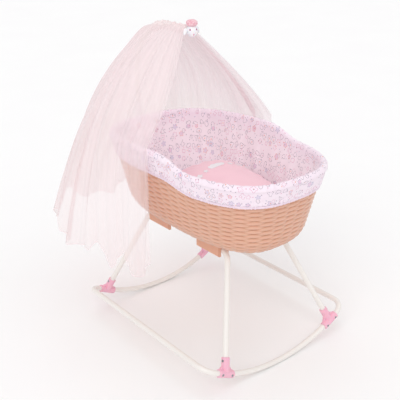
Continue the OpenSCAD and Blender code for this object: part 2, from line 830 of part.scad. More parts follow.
module sheep_head() {
    color(sheep_white)
        difference() {
            hull() {
                translate([sheep_x, 0, sheep_z])
                    sphere(sheep_head_r, $fn = 32);
                translate([sheep_x + 4, 0, sheep_z - 9])
                    sphere(sheep_head_r * 0.76, $fn = 32);
            }
            // Socket for the end of the pole's arm
            translate([sheep_x - 2 * sheep_head_r, 0, arm_height])
                rotate([0, 90, 0])
                    cylinder(h = arm_end_x + running_gap - sheep_x + 2 * sheep_head_r, d = pole_d + 2 * socket_gap);
            at_sheep_eyes()
                cylinder(h = sheep_head_r, d = sheep_pin_d + 2 * socket_gap);
            at_sheep_nose()
                cylinder(h = sheep_head_r, d = sheep_pin_d + 2 * socket_gap);
            // Flat seat for the cap
            translate([sheep_x - sheep_head_r, -sheep_head_r, sheep_z + sheep_head_r * 0.6])
                cube(2 * sheep_head_r);
        }
}

module sheep_cap() {
    cap_height = 17;
    color(sheep_pink)
        translate([sheep_x, 0, sheep_z + sheep_head_r * 0.6 + thread_gap])
            bar(cap_height, 2 * sheep_head_r, cap_height * 0.42);
}

module sheep_ears() {
    color(sheep_white)
        difference() {
            for (side = [-1, 1])
                hull() {
                    translate([sheep_x - 2, side * (sheep_head_r - 1), sheep_z + 2])
                        sphere(2.6, $fn = 20);
                    translate([sheep_x - 2, side * (sheep_head_r + 6), sheep_z - 8])
                        sphere(4, $fn = 20);
                }
            translate([sheep_x, 0, sheep_z])
                sphere(sheep_head_r + socket_gap, $fn = 64);
            translate([sheep_x, -sheep_head_r * 2, sheep_z + sheep_head_r * 0.6])
                translate([-sheep_head_r, 0, 0])
                    cube(4 * sheep_head_r);
        }
}

module sheep_eyes() {
    color(eye_magenta)
        at_sheep_eyes()
            bar(4, sheep_pin_d, 0.8);
}

module sheep_nose() {
    color(sheep_pink)
        at_sheep_nose()
            bar(4.6, sheep_pin_d, 0.8);
}

rocker(-1);  // rocker_head
rocker(1);  // rocker_foot
side_rail(-1);  // side_rail_near
side_rail(1);  // side_rail_far
leg_frame(-1);  // leg_frame_near
leg_frame(1);  // leg_frame_far
tee(-1, -1);  // tee_head_near
tee(-1, 1);  // tee_head_far
tee(1, -1);  // tee_foot_near
tee(1, 1);  // tee_foot_far
tee_body_screws();
tee_stub_screws();
basket_shell();
saddle(-1, -1);  // saddle_head_near
saddle(-1, 1);  // saddle_head_far
saddle(1, -1);  // saddle_foot_near
saddle(1, 1);  // saddle_foot_far
saddle_screws();
pole_socket();
pole_socket_screws();
liner();
liner_hem_elastic();
mattress();
quilt();
pole_lower();
pole_ferrule();
pole_upper();
veil_header();
veil();
sheep_head();
sheep_cap();
sheep_ears();
sheep_eyes();
sheep_nose();
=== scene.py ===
import math
import bpy
import numpy as np
from mathutils import Matrix, Vector


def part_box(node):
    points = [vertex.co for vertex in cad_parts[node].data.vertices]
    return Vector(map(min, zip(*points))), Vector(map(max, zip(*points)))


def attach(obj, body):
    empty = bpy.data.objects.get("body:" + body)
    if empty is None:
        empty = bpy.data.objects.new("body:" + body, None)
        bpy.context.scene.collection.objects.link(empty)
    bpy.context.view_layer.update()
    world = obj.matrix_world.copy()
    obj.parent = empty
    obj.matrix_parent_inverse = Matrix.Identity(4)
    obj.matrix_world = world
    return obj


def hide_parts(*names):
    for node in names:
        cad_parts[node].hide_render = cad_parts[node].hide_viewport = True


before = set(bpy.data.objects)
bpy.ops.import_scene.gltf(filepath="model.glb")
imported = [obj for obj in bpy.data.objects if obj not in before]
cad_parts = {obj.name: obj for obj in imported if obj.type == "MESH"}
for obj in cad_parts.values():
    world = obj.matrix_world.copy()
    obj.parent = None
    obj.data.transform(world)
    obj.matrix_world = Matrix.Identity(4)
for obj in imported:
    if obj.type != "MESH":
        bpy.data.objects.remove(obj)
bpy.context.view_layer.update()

# ---- Camera ----
# It stands off the foot end on the near side, above the top of the veil, and looks down into
# the basket with a moderate lens.
camera_data = bpy.data.cameras.new("view_camera")
camera_data.lens = 67.84
camera_data.sensor_width = 36
view_camera = bpy.data.objects.new("view_camera", camera_data)
bpy.context.scene.collection.objects.link(view_camera)
turn, tilt, lean_over = (math.radians(x) for x in (141.445, -23.443, -0.918))
looks = Vector((math.cos(turn) * math.cos(tilt), math.sin(turn) * math.cos(tilt), math.sin(tilt)))
level_right = looks.cross(Vector((0, 0, 1))).normalized()
level_up = level_right.cross(looks)
camera_right = level_right * math.cos(lean_over) + level_up * math.sin(lean_over)
camera_up = level_up * math.cos(lean_over) - level_right * math.sin(lean_over)
axes = Matrix((camera_right, camera_up, -looks)).transposed()
view_camera.matrix_world = Matrix.Translation((1.28815, -1.06593, 1.06251)) @ axes.to_4x4()
bpy.context.scene.camera = view_camera

# ---- Floor and light ----
# A plain pale paper floor under the rockers, and wide soft lamps as in a white studio: a key
# from the near side of the foot end, a top light and a weak fill from the far side.


def paint(red, green, blue):
    """A shader colour from screen values of 0 to 255."""
    shares = (((c / 255 + 0.055) / 1.055) ** 2.4 if c > 10 else c / 3294 for c in (red, green, blue))
    return tuple(shares) + (1.0,)


def finish(name, colour, roughness, **constants):
    """A new finish of one Principled shader, and its node tree and shader."""
    material = bpy.data.materials.new(name)
    material.use_nodes = True
    shader = material.node_tree.nodes["Principled BSDF"]
    shader.inputs["Base Color"].default_value = colour
    shader.inputs["Roughness"].default_value = roughness
    for socket, value in constants.items():
        shader.inputs[socket.replace("_", " ")].default_value = value
    return material, material.node_tree, shader


def node(tree, kind, feeds, **settings):
    """Adds a shader node. feeds gives each input a value or another node's output."""
    made = tree.nodes.new("ShaderNode" + kind)
    for key, value in settings.items():
        setattr(made, key, value)
    for key, value in feeds.items():
        if isinstance(value, bpy.types.NodeSocket):
            tree.links.new(value, made.inputs[key])
        else:
            made.inputs[key].default_value = value
    return made


def blended(tree, share, first, second):
    """Colour that goes from first to second as share goes from 0 to 1."""
    mixed = node(tree, "Mix", {"Factor": share}, data_type="RGBA")
    for socket, colour in ((6, first), (7, second)):
        if isinstance(colour, bpy.types.NodeSocket):
            tree.links.new(colour, mixed.inputs[socket])
        else:
            mixed.inputs[socket].default_value = colour
    return mixed.outputs[2]


def own_place(tree):
    """The place on the piece itself."""
    return node(tree, "TexCoord", {}).outputs["Object"]


def noise(tree, place, scale, detail=2.0, roughness=0.5):
    """Soft random shades, from 0 to 1."""
    feeds = {"Vector": place, "Scale": scale, "Detail": detail, "Roughness": roughness}
    return node(tree, "TexNoise", feeds).outputs[0]


def coloured(tree, shader, share, first, second):
    """Colours the shader from first to second as share goes from 0 to 1."""
    tree.links.new(blended(tree, share, first, second), shader.inputs["Base Color"])


bpy.ops.object.select_all(action="DESELECT")
bpy.ops.mesh.primitive_plane_add(size=90, location=(0, 0, 0))
studio_floor = bpy.context.object
studio_floor.name = "studio_floor"
floor_finish, tree, shader = finish("studio_floor_paper", paint(247, 246, 247), 0.9)
paper = noise(tree, own_place(tree), 3.0)
coloured(tree, shader, paper, paint(249, 248, 249), paint(252, 252, 252))
studio_floor.data.materials.append(floor_finish)


def soft_sun(name, direction, strength, softness):
    """A wide, even lamp that shines from that direction."""
    lamp = bpy.data.lights.new(name, "SUN")
    lamp.energy = strength
    lamp.angle = math.radians(softness)
    holder = bpy.data.objects.new(name, lamp)
    bpy.context.scene.collection.objects.link(holder)
    holder.rotation_euler = Vector(direction).to_track_quat("Z", "Y").to_euler()


soft_sun("key_lamp", (0.62, -0.95, 0.95), 0.85, 45)
soft_sun("top_lamp", (-0.15, 0.1, 1.0), 0.38, 60)
soft_sun("fill_lamp", (1.0, 0.5, 0.7), 0.25, 60)
studio_air = bpy.data.worlds.new("studio_air")
studio_air.use_nodes = True
studio_air.node_tree.nodes["Background"].inputs[0].default_value = (1, 1, 1, 1)
studio_air.node_tree.nodes["Background"].inputs[1].default_value = 0.70
bpy.context.scene.world = studio_air
bpy.context.scene.view_settings.view_transform = "Standard"

# ---- Stand tubes and canopy pole ----
# Thin-walled steel tube, bent and powder-coated warm white. The coat is glossy with a very fine
# orange-peel surface, and a little greyer in patches within 12 mm of the floor.


def sums(tree, operation, first, second=0.0, third=0.0):
    """A Math node's result."""
    return node(tree, "Math", {0: first, 1: second, 2: third}, operation=operation).outputs[0]


def product(tree, first, second):
    """Two values multiplied."""
    return sums(tree, "MULTIPLY", first, second)


def stretched(tree, share, low, high, start=0.0, end=1.0):
    """share moved from start..end to low..high."""
    feeds = {"Value": share, "From Min": start, "From Max": end, "To Min": low, "To Max": high}
    return node(tree, "MapRange", feeds).outputs[0]


def raised(tree, shader, height, distance, strength=1.0):
    """Gives the shader a relief of that height, in metres."""
    bump = node(tree, "Bump", {"Height": height, "Distance": distance, "Strength": strength})
    tree.links.new(bump.outputs[0], shader.inputs["Normal"])
    return bump


def roughened(tree, shader, share, low, high):
    """Makes the shader's roughness go from low to high as share goes from 0 to 1."""
    tree.links.new(stretched(tree, share, low, high), shader.inputs["Roughness"])


def recoated(names, material):
    """Gives kept CAD nodes that finish in place of their plain one."""
    for name in names:
        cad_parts[name].data.materials.clear()
        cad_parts[name].data.materials.append(material)


GREY_PATCHES_TO = 0.012         # how high above the floor the grey patches reach
tube_finish, tree, shader = finish("tube_paint", paint(240, 236, 231), 0.36, Coat_Weight=0.35,
                                   Coat_Roughness=0.22)
place = own_place(tree)
cloudy = noise(tree, place, 14.0, 4.0)
peel = noise(tree, place, 620.0, 2.0)
height_up = node(tree, "SeparateXYZ", {"Vector": place}).outputs["Z"]
grey_patches = noise(tree, place, 160.0, 5.0, 0.7)
greyed_low = product(tree, stretched(tree, height_up, 0.55, 0.0, end=GREY_PATCHES_TO), grey_patches)
coat = blended(tree, cloudy, paint(241, 237, 232), paint(236, 231, 227))
coloured(tree, shader, greyed_low, coat, paint(196, 190, 186))
roughened(tree, shader, cloudy, 0.3, 0.44)
raised(tree, shader, peel, 0.00006, 0.7)

recoated(("rocker_head", "rocker_foot", "side_rail_near", "side_rail_far", "leg_frame_near",
          "leg_frame_far", "pole_lower", "pole_upper"), tube_finish)

# ---- Connectors ----
# Baby-pink injection-moulded T pieces, in one shot of polypropylene: a satin skin with faint
# flow marks and a very fine spark-eroded grain.


def skinned(name, colour, roughness, shades, flow, grain, rough, relief, **constants):
    """A hard finish: flow marks between two shades, and a fine grain in its gloss and relief."""
    material, tree, shader = finish(name, colour, roughness, **constants)
    place = own_place(tree)
    fine = noise(tree, place, grain)
    coloured(tree, shader, noise(tree, place, *flow), *shades)
    roughened(tree, shader, fine, *rough)
    raised(tree, shader, fine, *relief)
    return material


connector_finish = skinned("connector_plastic", paint(242, 184, 203), 0.42,
                           shades=(paint(244, 190, 208), paint(238, 176, 197)), flow=(38.0, 3.0),
                           grain=1500.0, rough=(0.36, 0.5), relief=(0.00005, 0.6),
                           Specular_IOR_Level=0.5, Subsurface_Weight=0.08, Subsurface_Scale=0.004)
recoated(("tee_head_near", "tee_head_far", "tee_foot_near", "tee_foot_far"), connector_finish)

# ---- Screws ----
# Zinc-plated cross-head screws, sunk in the connectors, saddles and pole socket. The plating is
# bright with fine turning marks and a bluish cast.
screw_finish = skinned("screw_steel", paint(168, 169, 174), 0.3,
                       shades=(paint(150, 150, 156), paint(186, 188, 194)), flow=(240.0,), grain=2200.0,
                       rough=(0.2, 0.42), relief=(0.00004, 0.5), Metallic=1.0)
recoated(("tee_body_screws", "tee_stub_screws", "saddle_screws", "pole_socket_screws"), screw_finish)

# ---- Basket ----
# One moulding of peach polypropylene that imitates wicker: flat strands bulge out between
# upright stakes and dip behind the next, so that each column is half a strand off its
# neighbours. The skin is glossy on the crowns, with painted shade that darkens the grooves.
basket_low, basket_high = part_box("basket_shell")
HALF_LENGTH, HALF_WIDTH, BASKET_FLOOR = basket_high.x, basket_high.y, basket_low.z
RIM, RIM_RISE, WALL_LEAN, CORNER, PLAN_POWER = 0.182, 0.022, 0.043, 0.042, 2.9
HEAD_FALL, WALL, STAKE_GAP, STRAND_PITCH = 0.016, 0.003, 0.030, 0.0116
TURN = 2 * math.pi
ROUNDING, FLOOR_TOP = 0.0012, 0.004      # of the rim's edge, and the floor's thickness
CROWN_HEIGHT, GROOVE_DEPTH = 0.0018, 0.0024


def plan_curve(half_length, half_width, angle, power=PLAN_POWER):
    """The oval of the basket, at an angle round it."""
    c, s = np.cos(angle), np.sin(angle)
    x = half_length * np.sign(c) * np.abs(c) ** (2 / power)
    return x, half_width * np.sign(s) * np.abs(s) ** (2 / power)


def even_angles(share, half_length, half_width, power=PLAN_POWER):
    """Angles that lie at even distances round the oval."""
    fine = np.linspace(0, TURN, 7201)
    x, y = plan_curve(half_length, half_width, fine, power)
    along = np.concatenate([[0], np.cumsum(np.hypot(np.diff(x), np.diff(y)))])
    return np.interp(share * along[-1], along, fine), along[-1]


def rim_lift(x):
    """How far the rim stands over the foot end's rim at x."""
    s = np.clip((0.12 - x) / 0.1, 0, 1)
    return RIM_RISE * s * s * (3 - 2 * s) - HEAD_FALL * np.clip(-x / HALF_LENGTH, 0, 1) ** 1.3


def wall_lean(height):
    """How far in from the rim's outline the wall stands at a height."""
    return WALL_LEAN * (1 - height / RIM)


def on_basket(angle, inset, height):
    """The point at an angle round the basket, an inset from its rim's outline and a nominal height."""
    x, y = plan_curve(HALF_LENGTH - inset, HALF_WIDTH - inset, angle)
    level = CORNER + 0.02
    z = BASKET_FLOOR + height + rim_lift(x) * np.clip((height - level) / (RIM - level), 0, 1)
    return np.stack(np.broadcast_arrays(x, y, z), axis=-1)


def grid_piece(name, points, closed=False, inward=False, uv=None):
    """A mesh of quads through an array of points, rows x columns. closed joins the last column
    to the first, and uv gives each column's and row's distance along the cloth."""
    rows, columns = points.shape[:2]
    wide = columns if closed else columns - 1
    i, j = np.meshgrid(np.arange(rows - 1), np.arange(wide), indexing="ij")
    k = (j + 1) % columns
    corners = [i * columns + j, i * columns + k, (i + 1) * columns + k, (i + 1) * columns + j]
    if inward:
        corners.reverse()
    faces = np.stack(corners, axis=-1).reshape(-1, 4)
    mesh = bpy.data.meshes.new(name)
    mesh.from_pydata(points.reshape(-1, 3).tolist(), [], faces.tolist())
    if uv is not None:
        across, down = uv
        steps = [(i, j), (i, j + 1), (i + 1, j + 1), (i + 1, j)]
        if inward:
            steps.reverse()
        layer = mesh.uv_layers.new(name="cloth")
        flat = np.stack([np.stack([across[c], down[r]], axis=-1) for r, c in steps], axis=2)
        layer.data.foreach_set("uv", flat.astype(np.float32).ravel())
    mesh.polygons.foreach_set("use_smooth", np.ones(len(mesh.polygons), bool))
    mesh.update()
    piece = bpy.data.objects.new(name, mesh)
    bpy.context.scene.collection.objects.link(piece)
    return piece


def outward(points, closed):
    """The unit normals of a grid of points, rows x columns."""
    down = np.gradient(points, axis=0)
    around = np.gradient(points, axis=1)
    if closed:
        around = (np.roll(points, -1, axis=1) - np.roll(points, 1, axis=1)) / 2
    normal = np.cross(around, down)
    return normal / np.maximum(np.linalg.norm(normal, axis=-1, keepdims=True), 1e-12)


def only(piece):
    """Selects just this piece and makes it active."""
    bpy.ops.object.select_all(action="DESELECT")
    piece.select_set(True)
    bpy.context.view_layer.objects.active = piece


def faces_out():
    """Turns the active piece's faces outwards."""
    bpy.ops.object.mode_set(mode="EDIT")
    bpy.ops.mesh.select_all(action="SELECT")
    bpy.ops.mesh.normals_make_consistent(inside=False)
    bpy.ops.object.mode_set(mode="OBJECT")


def marked(piece, name, values):
    """Keeps a value for each point of the piece, for its finish to read."""
    kept = piece.data.attributes.new(name, "FLOAT", "POINT")
    kept.data.foreach_set("value", values.astype(np.float32).ravel())


def woven(stake, strand):
    """Relief of the weave, 0 in the grooves to 1 on a crown, from places counted in stakes and strands."""
    relief = np.zeros(np.broadcast(stake, strand).shape)
    for half in (0.0, 1.0):
        across = (stake - half) / 2
        across = np.abs(across - np.round(across)) * 2
        up = strand - half / 2
        up = up - np.round(up)
        lens = np.clip(1 - (across / 0.80) ** 2, 0, 1)
        body = np.clip(1 - (up / (0.001 + 0.47 * lens ** 0.9)) ** 2, 0, 1) ** 0.6
        relief = np.maximum(relief, body * lens ** 0.5)
    return relief


columns = 552
shares = np.arange(columns) / columns
angles, girth = even_angles(shares, HALF_LENGTH - 0.02, HALF_WIDTH - 0.02)
stakes = 2 * round(girth / STAKE_GAP / 2)
heights = np.concatenate([CORNER * (1 - np.cos(np.linspace(0.14, 1, 22) * math.pi / 2)),
                          np.linspace(CORNER, RIM - ROUNDING, 98)[1:]])
sweep = np.arccos(np.clip(1 - heights / CORNER, -1, 1))
insets = wall_lean(heights) + CORNER * (1 - np.sin(np.where(heights < CORNER, sweep, math.pi / 2)))
path = np.concatenate([[0], np.cumsum(np.hypot(np.diff(insets), np.diff(heights)))])
wall_points = on_basket(angles, insets[:, None], heights[:, None])
strand_relief = woven(shares[None, :] * stakes, ((path - path[-1]) / STRAND_PITCH)[:, None])
fade_low = np.clip((path - 0.004) / 0.010, 0, 1)
fade_high = np.clip((RIM + 0.004 - heights) / 0.02, 0.25, 1)
bulge = (strand_relief * (CROWN_HEIGHT + GROOVE_DEPTH) - GROOVE_DEPTH) * (fade_low * fade_high)[:, None]
wall_points += outward(wall_points, True) * bulge[..., None]
rim_and_inside = [(0.001, RIM), (WALL - 0.001, RIM), (wall_lean(RIM - ROUNDING) + WALL, RIM - ROUNDING),
                  (wall_lean(0.12) + WALL, 0.12), (wall_lean(CORNER) + WALL, CORNER)]
for angle in (60, 35, 15):
    radius = CORNER - FLOOR_TOP
    h = FLOOR_TOP + radius * (1 - math.cos(math.radians(angle)))
    rim_and_inside.append((wall_lean(h) + WALL + radius * (1 - math.sin(math.radians(angle))), h))
inside_floor = [(0.10, FLOOR_TOP), (0.13, FLOOR_TOP), (0.155, FLOOR_TOP)]
underside = [(0.155, 0.0), (0.12, 0.0), (insets[0] + 0.006, 0.0)]
inside_rows = [on_basket(angles, inset, h) for inset, h in rim_and_inside + inside_floor]
under_rows = [on_basket(angles, inset, h) for inset, h in underside]
basket_points = np.concatenate([under_rows, wall_points, inside_rows])
woven_basket = grid_piece("woven_basket", basket_points, closed=True)
crown = np.full((len(basket_points), columns), 0.7)
crown[len(under_rows):-len(inside_rows)] = strand_relief * fade_low[:, None] + 0.6 * (1 - fade_low[:, None])
marked(woven_basket, "strand_crown", crown)
only(woven_basket)
bpy.ops.object.mode_set(mode="EDIT")
bpy.ops.mesh.select_mode(type="EDGE")
bpy.ops.mesh.select_all(action="DESELECT")
bpy.ops.mesh.select_non_manifold()
bpy.ops.mesh.fill_holes(sides=0)
faces_out()

basket_finish, tree, shader = finish("basket_plastic", paint(226, 172, 145), 0.36, Coat_Weight=0.6,
                                     Coat_Roughness=0.16, Subsurface_Weight=0.06, Subsurface_Scale=0.004)
place = own_place(tree)
crowned = node(tree, "Attribute", {}, attribute_name="strand_crown").outputs["Fac"]
patches = noise(tree, place, 9.0, 3.0)
flattened = node(tree, "Mapping", {"Vector": place, "Scale": (1.0, 1.0, 9.0)}).outputs[0]
fibre = noise(tree, flattened, 260.0, 3.0, 0.6)
# Painted shade: the colour darkens from the crowns down into the grooves, where less light falls.
painted_groove_shade = stretched(tree, crowned, 0.0, 1.0, start=0.05, end=0.75)
crown_colour = blended(tree, patches, paint(229, 180, 156), paint(221, 167, 141))
coloured(tree, shader, painted_groove_shade, paint(202, 136, 103), crown_colour)
roughened(tree, shader, fibre, 0.32, 0.46)
raised(tree, shader, fibre, 0.00008, 0.5)
woven_basket.data.materials.append(basket_finish)
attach(woven_basket, "basket")
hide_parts("basket_shell")

# ---- Saddles and pole socket ----
# Separate mouldings in the same peach plastic, smooth, screwed on under the floor and on the
# head end. The saddles drop over the stand's two rests.
smooth_finish = skinned("saddle_plastic", paint(222, 164, 136), 0.42,
                        shades=(paint(226, 170, 143), paint(216, 156, 127)), flow=(22.0, 3.0), grain=1300.0,
                        rough=(0.36, 0.5), relief=(0.00005, 0.6), Coat_Weight=0.15, Coat_Roughness=0.3,
                        Subsurface_Weight=0.06, Subsurface_Scale=0.004)
recoated(("saddle_head_near", "saddle_head_far", "saddle_foot_near", "saddle_foot_far", "pole_socket"),
         smooth_finish)

# ---- Liner ----
# A padded cotton lining that follows the wall, rolls over the rim and hangs outside as a band of
# about 50 mm. It is sewn from one long strip with a short seam at the foot end of the near side,
# and printed all over with small outline doodles.


def harmonics(share, counts, seed):
    """A soft closed wave round the basket: a mean of cosines with these counts, from -1 to 1."""
    phases = np.random.default_rng(seed).uniform(0, TURN, len(counts))
    return sum(np.cos(TURN * k * share + p) for k, p in zip(counts, phases)) / len(counts) ** 0.7


LINER_FACE, BAND_FACE, BAND_LOW, ROLL = 0.0063, 0.0053, 0.144, 0.007
LINER_LOW, ROLL_LOW = 0.026, 0.005       # the lining's lower end, and how far the roll reaches down
FOLD_DEPTH, PUCKER_DEPTH, WAVE_DEPTH, RUCHE_DEPTH, CASING_DENT = 0.0042, 0.0007, 0.0010, 0.0013, 0.0009
SEAM_AT, SEAM_WIDTH, SEAM_DENT = 0.853, 0.0014, 0.0011
LINER_COLUMNS = 900
shares = np.arange(LINER_COLUMNS) / LINER_COLUMNS
angles, liner_girth = even_angles(shares, HALF_LENGTH, HALF_WIDTH)
profile = [(wall_lean(h) + LINER_FACE + 0.0020 * max(0, 1 - (RIM - h) / 0.02), h, 0)
           for h in np.linspace(LINER_LOW, RIM - ROLL_LOW, 28)]
roll_middle, roll_half = (LINER_FACE - BAND_FACE) / 2, (LINER_FACE + BAND_FACE) / 2 + 0.0022
for degrees in np.linspace(168, 12, 17):
    a = math.radians(degrees)
    profile.append((roll_middle - roll_half * math.cos(a), RIM - 0.006 + (ROLL + 0.0085) * math.sin(a), 1))
for h in np.linspace(RIM - ROLL_LOW, BAND_LOW, 19):
    proud = BAND_FACE + 0.001 * min(1, (h - BAND_LOW) / 0.02, (RIM - h) / 0.02)
    profile.append((wall_lean(h) - proud, h, 2))
profile += [(wall_lean(BAND_LOW) - BAND_FACE + 0.0012, BAND_LOW - 0.0004, 3),
            (wall_lean(BAND_LOW) - 0.002, BAND_LOW + 0.003, 3)]
inset, height, zone = (np.array(x) for x in zip(*profile))        # zone: inside, roll, band, turned hem
liner_points = on_basket(angles, inset[:, None], height[:, None])
down_cloth = np.concatenate([[0], np.cumsum(np.hypot(np.diff(inset), np.diff(height)))])
S = shares[None, :]
rise = np.clip((height - 0.046) / (RIM - 0.046), 0, 1)[:, None]
inside_folds = np.sin(math.pi * np.clip(rise, 0, 1)) ** 0.8 * (zone == 0)[:, None]
soft_folds = harmonics(S + 0.006 * np.sin(7 * rise), (6, 9, 13, 17, 23), 3)
soft_folds = soft_folds + 0.35 * harmonics(S, (31, 38, 47), 4)
puckers = harmonics(S, (61, 83, 97, 113), 5)
ruching = harmonics(S, (118, 137, 151, 163), 8)
hang = np.clip((RIM - 0.012 - height) / (RIM - 0.012 - BAND_LOW), 0, 1)[:, None] * (zone >= 2)[:, None]
casing = np.exp(-(((height - BAND_LOW - 0.010) / 0.0016) ** 2))[:, None] * (zone == 2)[:, None]
puckered = ((zone == 1) + 0.35 * (zone == 0))[:, None]
swell_out = (FOLD_DEPTH * soft_folds * inside_folds + PUCKER_DEPTH * puckers * puckered
             + WAVE_DEPTH * harmonics(S, (13, 22, 31, 43), 11) * np.sqrt(hang)
             + RUCHE_DEPTH * ruching * hang ** 2 - CASING_DENT * casing)
swell_out = np.where((zone == 0)[:, None], np.maximum(swell_out + 0.0012 * inside_folds, -0.0012), swell_out)
swell_out *= np.clip((height[:, None] - 0.044) / 0.012, 0, 1)
seam_near = np.exp(-(((S - SEAM_AT) * liner_girth / SEAM_WIDTH) ** 2)) * ((zone == 2) | (zone == 1))[:, None]
swell_out -= SEAM_DENT * seam_near
liner_points += -outward(liner_points, True) * swell_out[..., None]
padded_liner = grid_piece("padded_liner", liner_points, closed=True, inward=True,
                          uv=(np.arange(LINER_COLUMNS + 1) / LINER_COLUMNS * liner_girth, down_cloth))
# Where the inside's painted bounce-light tint takes over; it fades out towards the rim.
inside_bounce_share = np.repeat((zone == 0).astype(np.float32) * np.clip((RIM - height) / 0.03, 0, 1), LINER_COLUMNS)
marked(padded_liner, "inside_bounce_share", inside_bounce_share)


def printed_cotton(name, ground, bounce_tint_ground):
    """Cotton printed with loops, petals, blobs and small crosses at random, on the cloth's own map."""
    material, tree, shader = finish(name, ground, 0.85, Sheen_Weight=0.25, Sheen_Roughness=0.5)
    cloth = node(tree, "UVMap", {}, uv_map="cloth").outputs[0]
    inside = node(tree, "Attribute", {}, attribute_name="inside_bounce_share").outputs["Fac"]
    cloudy = noise(tree, cloth, 30.0, 3.0)
    # Inside the basket the ground is painted its own tint, standing in for light bounced about inside.
    colour = blended(tree, inside, blended(tree, cloudy, ground, paint(246, 228, 241)), bounce_tint_ground)
    inks = (paint(150, 138, 152), paint(214, 140, 172), paint(158, 162, 190), paint(236, 150, 112))
    doodles, small_crosses = (0.0190, 0.0064, 0.00042, 0.0, False), (0.0105, 0.0017, 0.00036, 3.7, True)
    for pitch, size, line, seed_shift, crosses in (doodles, small_crosses):
        shift = (seed_shift, seed_shift, 0)
        moved = node(tree, "VectorMath", {0: cloth, 1: shift}, operation="ADD").outputs[0]
        cells = node(tree, "TexVoronoi", {"Vector": moved, "Scale": 1 / pitch, "Randomness": 0.72},
                     voronoi_dimensions="2D")
        middle = cells.outputs["Position"]
        offset = node(tree, "VectorMath", {0: moved, 1: middle}, operation="SUBTRACT").outputs[0]
        part = node(tree, "SeparateXYZ", {"Vector": offset})
        chance = node(tree, "SeparateColor", {"Color": cells.outputs["Color"]})
        away = node(tree, "VectorMath", {0: offset}, operation="LENGTH").outputs["Value"]
        if crosses:
            x, y = (sums(tree, "ABSOLUTE", part.outputs[k]) for k in (0, 1))
            thin = sums(tree, "LESS_THAN", sums(tree, "MINIMUM", x, y), line)
            mark = product(tree, thin, sums(tree, "LESS_THAN", sums(tree, "MAXIMUM", x, y), size))
            mark = product(tree, mark, sums(tree, "GREATER_THAN", chance.outputs[2], 0.4))
        else:
            bearing = sums(tree, "ARCTAN2", part.outputs[1], part.outputs[0])
            bearing = sums(tree, "ADD", bearing, product(tree, chance.outputs[0], 6.28))
            lobes = sums(tree, "ADD", sums(tree, "FLOOR", product(tree, chance.outputs[1], 4.0)), 2.0)
            ripple = sums(tree, "COSINE", product(tree, bearing, lobes))
            deep = product(tree, ripple, stretched(tree, chance.outputs[2], 0.12, 0.38))
            reach = stretched(tree, chance.outputs[0], 0.55 * size, size)
            edge = product(tree, sums(tree, "ADD", deep, 1.0), reach)
            off = sums(tree, "SUBTRACT", away, edge)
            mark = sums(tree, "LESS_THAN", sums(tree, "ABSOLUTE", off), line)
            some = sums(tree, "GREATER_THAN", chance.outputs[1], 0.84)
            filled = product(tree, sums(tree, "LESS_THAN", off, 0.0), some)
            soft_fill = blended(tree, chance.outputs[2], paint(228, 176, 204), paint(196, 196, 224))
            colour = blended(tree, product(tree, filled, 0.5), colour, soft_fill)
            few = sums(tree, "GREATER_THAN", chance.outputs[0], 0.86)
            core = product(tree, sums(tree, "LESS_THAN", away, 0.0013), few)
            colour = blended(tree, core, colour, inks[3])
        ramp = node(tree, "ValToRGB", {"Fac": chance.outputs[1]})
        ramp.color_ramp.interpolation = "CONSTANT"
        for stop, ink in zip((0.0, 0.55, 0.8, 0.94), inks):
            spot = ramp.color_ramp.elements[0] if stop == 0.0 else ramp.color_ramp.elements.new(stop)
            spot.position, spot.color = stop, ink
        ramp.color_ramp.elements[-1].color = inks[3]
        colour = blended(tree, product(tree, mark, 0.85), colour, ramp.outputs["Color"])
    tree.links.new(colour, shader.inputs["Base Color"])
    threads = node(tree, "SeparateXYZ", {"Vector": cloth})
    warp, weft = (sums(tree, "SINE", product(tree, threads.outputs[k], 9000.0)) for k in (0, 1))
    weave = product(tree, warp, weft)
    creases = noise(tree, cloth, 120.0, 4.0)
    raised(tree, shader, sums(tree, "ADD", product(tree, weave, 0.12), creases), 0.0007, 0.6)
    return material


padded_liner.data.materials.append(printed_cotton("liner_print", paint(251, 239, 247), paint(252, 240, 246)))
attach(padded_liner, "basket")
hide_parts("liner")

# ---- Elastic hem of the liner ----
# The band's lower edge is a narrow casing with flat elastic in it, which draws the cotton into
# small close ruffles against the basket.
HEM_OUT, HEM_TALL, HEM_DROP = 0.0022, 0.0036, 0.0035
hem_columns = 1800
hem_shares = np.arange(hem_columns) / hem_columns
hem_angles, hem_girth = even_angles(hem_shares, HALF_LENGTH, HALF_WIDTH)
turns = np.radians(np.linspace(100, -190, 13))
hem_middle = BAND_LOW - HEM_DROP
ruffle = harmonics(hem_shares, (131, 170, 201, 233), 21)[None, :]
puff = 1 + 0.30 * ruffle
hem_inset = wall_lean(hem_middle) - 0.0034 - HEM_OUT * np.cos(turns)[:, None] * puff
hem_height = hem_middle + HEM_TALL * np.sin(turns)[:, None] * (1 + 0.14 * ruffle)
hem_points = on_basket(hem_angles, hem_inset, hem_height)
elastic_hem = grid_piece("elastic_hem", hem_points, closed=True, inward=True,
                         uv=(np.arange(hem_columns + 1) / hem_columns * hem_girth, np.linspace(0, 0.02, 13)))
elastic_finish, tree, shader = finish("elastic_cotton", paint(246, 226, 240), 0.85, Sheen_Weight=0.25)
cloth = node(tree, "UVMap", {}, uv_map="cloth").outputs[0]
cloudy = noise(tree, cloth, 90.0, 4.0)
coloured(tree, shader, cloudy, paint(250, 234, 244), paint(232, 208, 226))
along_hem = node(tree, "SeparateXYZ", {"Vector": cloth}).outputs[0]
cords = sums(tree, "SINE", product(tree, along_hem, 2600.0))
raised(tree, shader, sums(tree, "ADD", cloudy, product(tree, cords, 0.3)), 0.0006, 0.7)
elastic_hem.data.materials.append(elastic_finish)
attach(elastic_hem, "basket")
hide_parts("liner_hem_elastic")

# ---- Mattress ----
# A thin foam pad in a plain off-white knitted cover, cut to the basket's oval, with a sewn edge.


